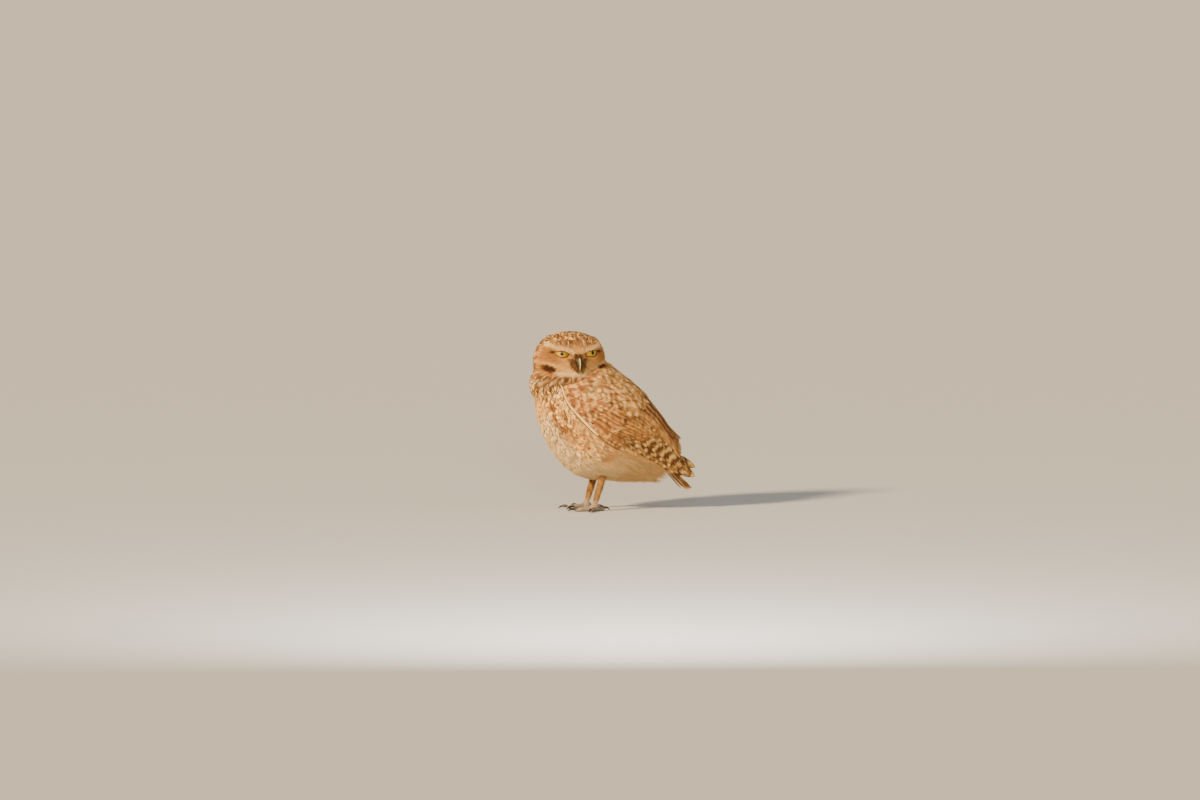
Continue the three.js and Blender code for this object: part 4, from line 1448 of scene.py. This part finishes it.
def stack(along_at, share, out):
    """(feather, 3) places on a wing: along it, from its upper edge to its lower, and out from it."""
    return np.stack(np.broadcast_arrays(along_at, share, out), axis=-1)


def ranks(count, *corners):
    """Roots and tips of a row, from the lowest feather's root and the highest's, and the tips' likewise."""
    t = np.linspace(0, 1, count)[:, None]
    low_root, high_root, low_tip, high_tip = np.array(corners, float)
    return mix(low_root, high_root, t), mix(low_tip, high_tip, t)


def wing_row(side, starts, ends, half, shape, columns, rows, paint, jitter=0.0, bow=0.0, lean=0.08,
             mottled=0.4, **settings):
    """(rings, colours, vane places, bake places) of one row of wing feathers."""
    n = len(starts)
    starts = starts + rng.normal(0, 1, (n, 3)) * [1.0, 0.012, 0.05] * jitter
    ends = ends + rng.normal(0, 1, (n, 3)) * [1.2, 0.02, 0.08] * jitter
    line, normal = wing_lines(side, starts, ends, rows, bow)
    half = np.broadcast_to(np.array(half, float), n) * rng.uniform(0.94, 1.06, n)
    size = line_lengths(line)
    # Each feather's lower edge lies over the next one's upper edge
    tilt = np.full(n, -side * lean)
    rings, places = vanes(line, normal, half * MM, shape, columns, tilt=tilt, **settings)
    colours = paint(places, half, size, np.full(n, -side))
    mottle, wide = (noise(rings.reshape(-1, 3), gap * MM, seed).reshape(places.shape[:3])
                    for gap, seed in ((2.8, 21), (9, 22)))
    colours = weigh(colours, DARK_BROWN, (ramp(mottle, 0.45, 0.25) + 0.7 * ramp(wide, 0.5, 0.25)) * mottled)
    colours = weigh(colours, SPOT_BUFF, ramp(mottle, 0.58, 0.78) * mottled)
    bake = wide_patches(starts[:, 0], starts[:, 1], places)
    return rings, colours, vane_places(places, half, size), bake


def wing_piece(name, rows_made):
    """One mesh from rows of feathers that may differ in their number of corners."""
    parts = [tubes(f"{name}_{i}", *row) for i, row in enumerate(rows_made)]
    for i, part in enumerate(parts):
        layer = part.data.uv_layers["OFBake"]
        values = np.empty(len(part.data.loops) * 2, np.float32)
        layer.uv.foreach_get("vector", values)
        cells = math.ceil(math.sqrt(len(parts)))
        values = values.reshape(-1, 2) * 0.98 + 0.01 + [i % cells, i // cells]
        layer.uv.foreach_set("vector", (values / cells).astype(np.float32).ravel())
    with bpy.context.temp_override(active_object=parts[0], selected_editable_objects=parts):
        bpy.ops.object.join()
    obj = parts[0]
    obj.name = name
    return obj


PRIMARY_TIPS = np.array([119, 125, 132, 140, 149, 158, 166, 174, 177, 169.0])
PRIMARY_SHARES = np.array([0.46, 0.50, 0.53, 0.56, 0.58, 0.60, 0.62, 0.66, 0.78, 0.90])
PRIMARY_HALVES = [4.2, 5.0, 5.4, 5.6, 5.8, 6.0, 6.2, 6.2, 6.2, 6.2]


def lesser_places():
    """(along, share) of the small coverts' roots, in rows that lie like tiles."""
    places = []
    for k, start in enumerate(np.arange(33, 1, -3.6)):
        wide = 5 + int(start / 5)
        shares = np.linspace(0.99, 0.12, wide) - (0.5 * 0.87 / (wide - 1) if k % 2 else 0.0)
        places += [(start, share) for share in shares[shares > 0.05]]
    return np.array(places).T


def blade_places():
    """(along, share, how large) of the shoulder feathers' roots."""
    places = []
    for k, start in enumerate((66, 59.5, 53, 46.5, 40.5, 34.5, 29, 24, 19.5, 16)):
        large = start / 66
        step = 0.145 - 0.02 * (1 - large)
        shares = np.arange(-0.22 + 0.30 * ramp(start, 24, 8), 0.52, step) + (step / 2 if k % 2 else 0.0)
        places += [(start, share, large) for share in shares[::-1]]
    return np.array(places).T


def rump_places():
    """(along, share) of the roots of the feathers over the rump, between the wings."""
    return np.array([(start, share) for k, start in enumerate(np.arange(122, 96, -5.5))
                     for share in np.arange(0.22 if k % 2 else 0.28, -0.4, -0.12)]).T


def build_wing(side_name):
    """All of a wing's feathers as one piece, drawn row by row."""
    side = SIDES[side_name]
    # From the outermost primary, which lies lowest, up to the innermost tertial
    k = np.arange(10)
    primaries = wing_row(side, stack(46.0, 0.92 - 0.02 * (9 - k), -2.2)[::-1],
                         stack(PRIMARY_TIPS, PRIMARY_SHARES, -0.9 + 0.08 * (9 - k))[::-1], PRIMARY_HALVES,
                         flight_shape, 7, 46, flight_paint, fray=0.05, camber=0.05, thick=0.25, bow=0.8,
                         lean=0.10)
    secondaries = wing_row(side, stack(44.0, 0.86 - 0.055 * k, -1.8),
                           stack(108 + 3.6 * k, 0.74 - 0.035 * k, -0.5 + 0.05 * k), 6.2, round_shape, 7, 34,
                           coverts_paint, fray=0.05, camber=0.06, thick=0.25, bow=0.7, lean=0.12)
    k = np.arange(6)
    tertials = wing_row(side, stack(46.0, 0.38 - 0.09 * k, -1.2),
                        stack(151 - 0.8 * k, 0.48 - 0.10 * k, 0.1 + 0.05 * k + 0.15 * (side > 0)), 6.2,
                        round_shape, 8, 34, coverts_paint, fray=0.06, camber=0.08, thick=0.25, bow=0.5,
                        lean=0.10)
    places = ranks(8, (44, 0.97, -0.9), (48, 0.78, -0.9), (92, 0.98, 0.1), (80, 0.80, 0.1))
    hand_coverts = wing_row(side, *places, 4.2, round_shape, 7, 24,
                            spotted((0.45, 0.68, 0.9), 1.5, FLIGHT_BROWN, MID_BROWN, 0.5),
                            0.5, fray=0.08, camber=0.12, bow=0.4, lean=0.16)
    places = ranks(15, (44, 0.92, -0.7), (50, 0.16, -0.7), (73, 0.96, 0.25), (90, 0.16, 0.3))
    greater = wing_row(side, *places, 4.9, round_shape, 7, 22, coverts_paint, 0.5, fray=0.10, camber=0.14,
                       bow=0.4, lean=0.16)
    places = ranks(15, (30, 0.95, -0.5), (38, 0.14, -0.5), (51, 0.96, 0.4), (62, 0.16, 0.4))
    median = wing_row(side, *places, 4.4, round_shape, 7, 18,
                      spotted((0.6, 0.88), 1.9, MID_BROWN, WARM_BROWN, 0.35),
                      0.6, fray=0.14, camber=0.16, bow=0.4, lean=0.14)
    at, share = rump_places()
    rump = wing_row(side, stack(at, share, -1.2), stack(at + 20, share, -0.5), 5.0, contour_shape, 7, 12,
                    coverts_paint, 0.5, fray=0.15, tip_fray=0.1, camber=0.1)
    at, share = lesser_places()
    lesser = wing_row(side, stack(at, share, -0.4), stack(at + 10.5, share, 0.5), 3.5, contour_shape, 7, 12,
                      spotted((0.85,), 1.6, MID_BROWN, WARM_BROWN, 0.25),
                      0.9, fray=0.2, tip_fray=0.12, camber=0.2, groove=0.08, bow=0.3, lean=0.05)
    at, share, large = blade_places()
    blades = wing_row(side, stack(at, share, -0.9), stack(at + 13 + 12 * large, share * 0.96, 0.9),
                      3.7 + 2.0 * large, contour_shape, 8, 18,
                      spotted((0.62, 0.88), 2.8, MID_BROWN, TAN * 0.9, 0.3),
                      0.9, fray=0.16, tip_fray=0.10, camber=0.16, groove=0.06, bow=0.4, lean=0.02)
    # The thumb's feathers and the white edge along the front of the wing
    k = np.arange(3)
    thumb = wing_row(side, stack(32.0 + 2 * k, 0.985, -0.2), stack(56.0 + 7 * k, 1.0 - 0.015 * k, 0.5), 2.6,
                     round_shape, 6, 16, spotted((0.4, 0.65, 0.9), 0.9, DARK_BROWN, MID_BROWN, 0.6),
                     fray=0.06, camber=0.15, lean=0.1)
    at = np.linspace(1, 50, 32)
    margin = wing_row(side, stack(at, 0.99, 0.9), stack(at + 11, 1.0, 1.6), np.linspace(0.7, 1.3, 32),
                      contour_shape, 5, 10, margin_paint, 0.15, mottled=0.0, fray=0.1, tip_fray=0.1,
                      camber=0.3)
    rows_made = [rump, primaries, secondaries, tertials, hand_coverts, greater, median, lesser, blades,
                 thumb, margin]
    return finish_piece(wing_piece(f"wing_feathers_{side_name}", rows_made), VANE, "wing_feathers")


for side_name in SIDES:
    build_wing(side_name)


# The tail: twelve feathers, the middle pair on top

def tail_piece():
    place = np.array([side * k for k in range(6, 0, -1) for side in (-1.0, 1.0)])
    outer = np.abs(place) / 6
    spread = np.sign(place) * (np.abs(place) - 0.5) / 5.5
    v = np.linspace(0, 1, 34)[None, :]
    along_at = mix(112.0, (183 - 5 * outer**2)[:, None], v)
    sideways = mix((2.5 * spread)[:, None], (13.5 * spread)[:, None], v)
    rise = mix(-9.0, -18.0, v) - 4.5 * (sideways / 14) ** 2 + (0.5 - 1.6 * outer)[:, None]
    line = on_axis(along_at, rise, sideways)
    normal = np.broadcast_to(RISE, line.shape)
    half = np.full(len(place), 6.0)
    rings, places = vanes(line, normal, half * MM, flight_shape, 9, camber=0.05, thick=0.25, fray=0.05,
                          tilt=-np.sign(place) * 0.05)
    size = line_lengths(line)
    # The tail is washed towards buff: partly its own pale bars, partly painted light that offsets the shade
    # the body casts on it
    colours = mix(flight_paint(places, half, size, np.sign(place)), FLIGHT_BUFF, 0.35)
    bake = wide_patches(along_at[:, 0], place, places)
    piece = tubes("tail_feathers", rings, colours, vane_places(places, half, size), bake)
    return finish_piece(piece, VANE, "tail_feathers", "tail")


tail_piece()
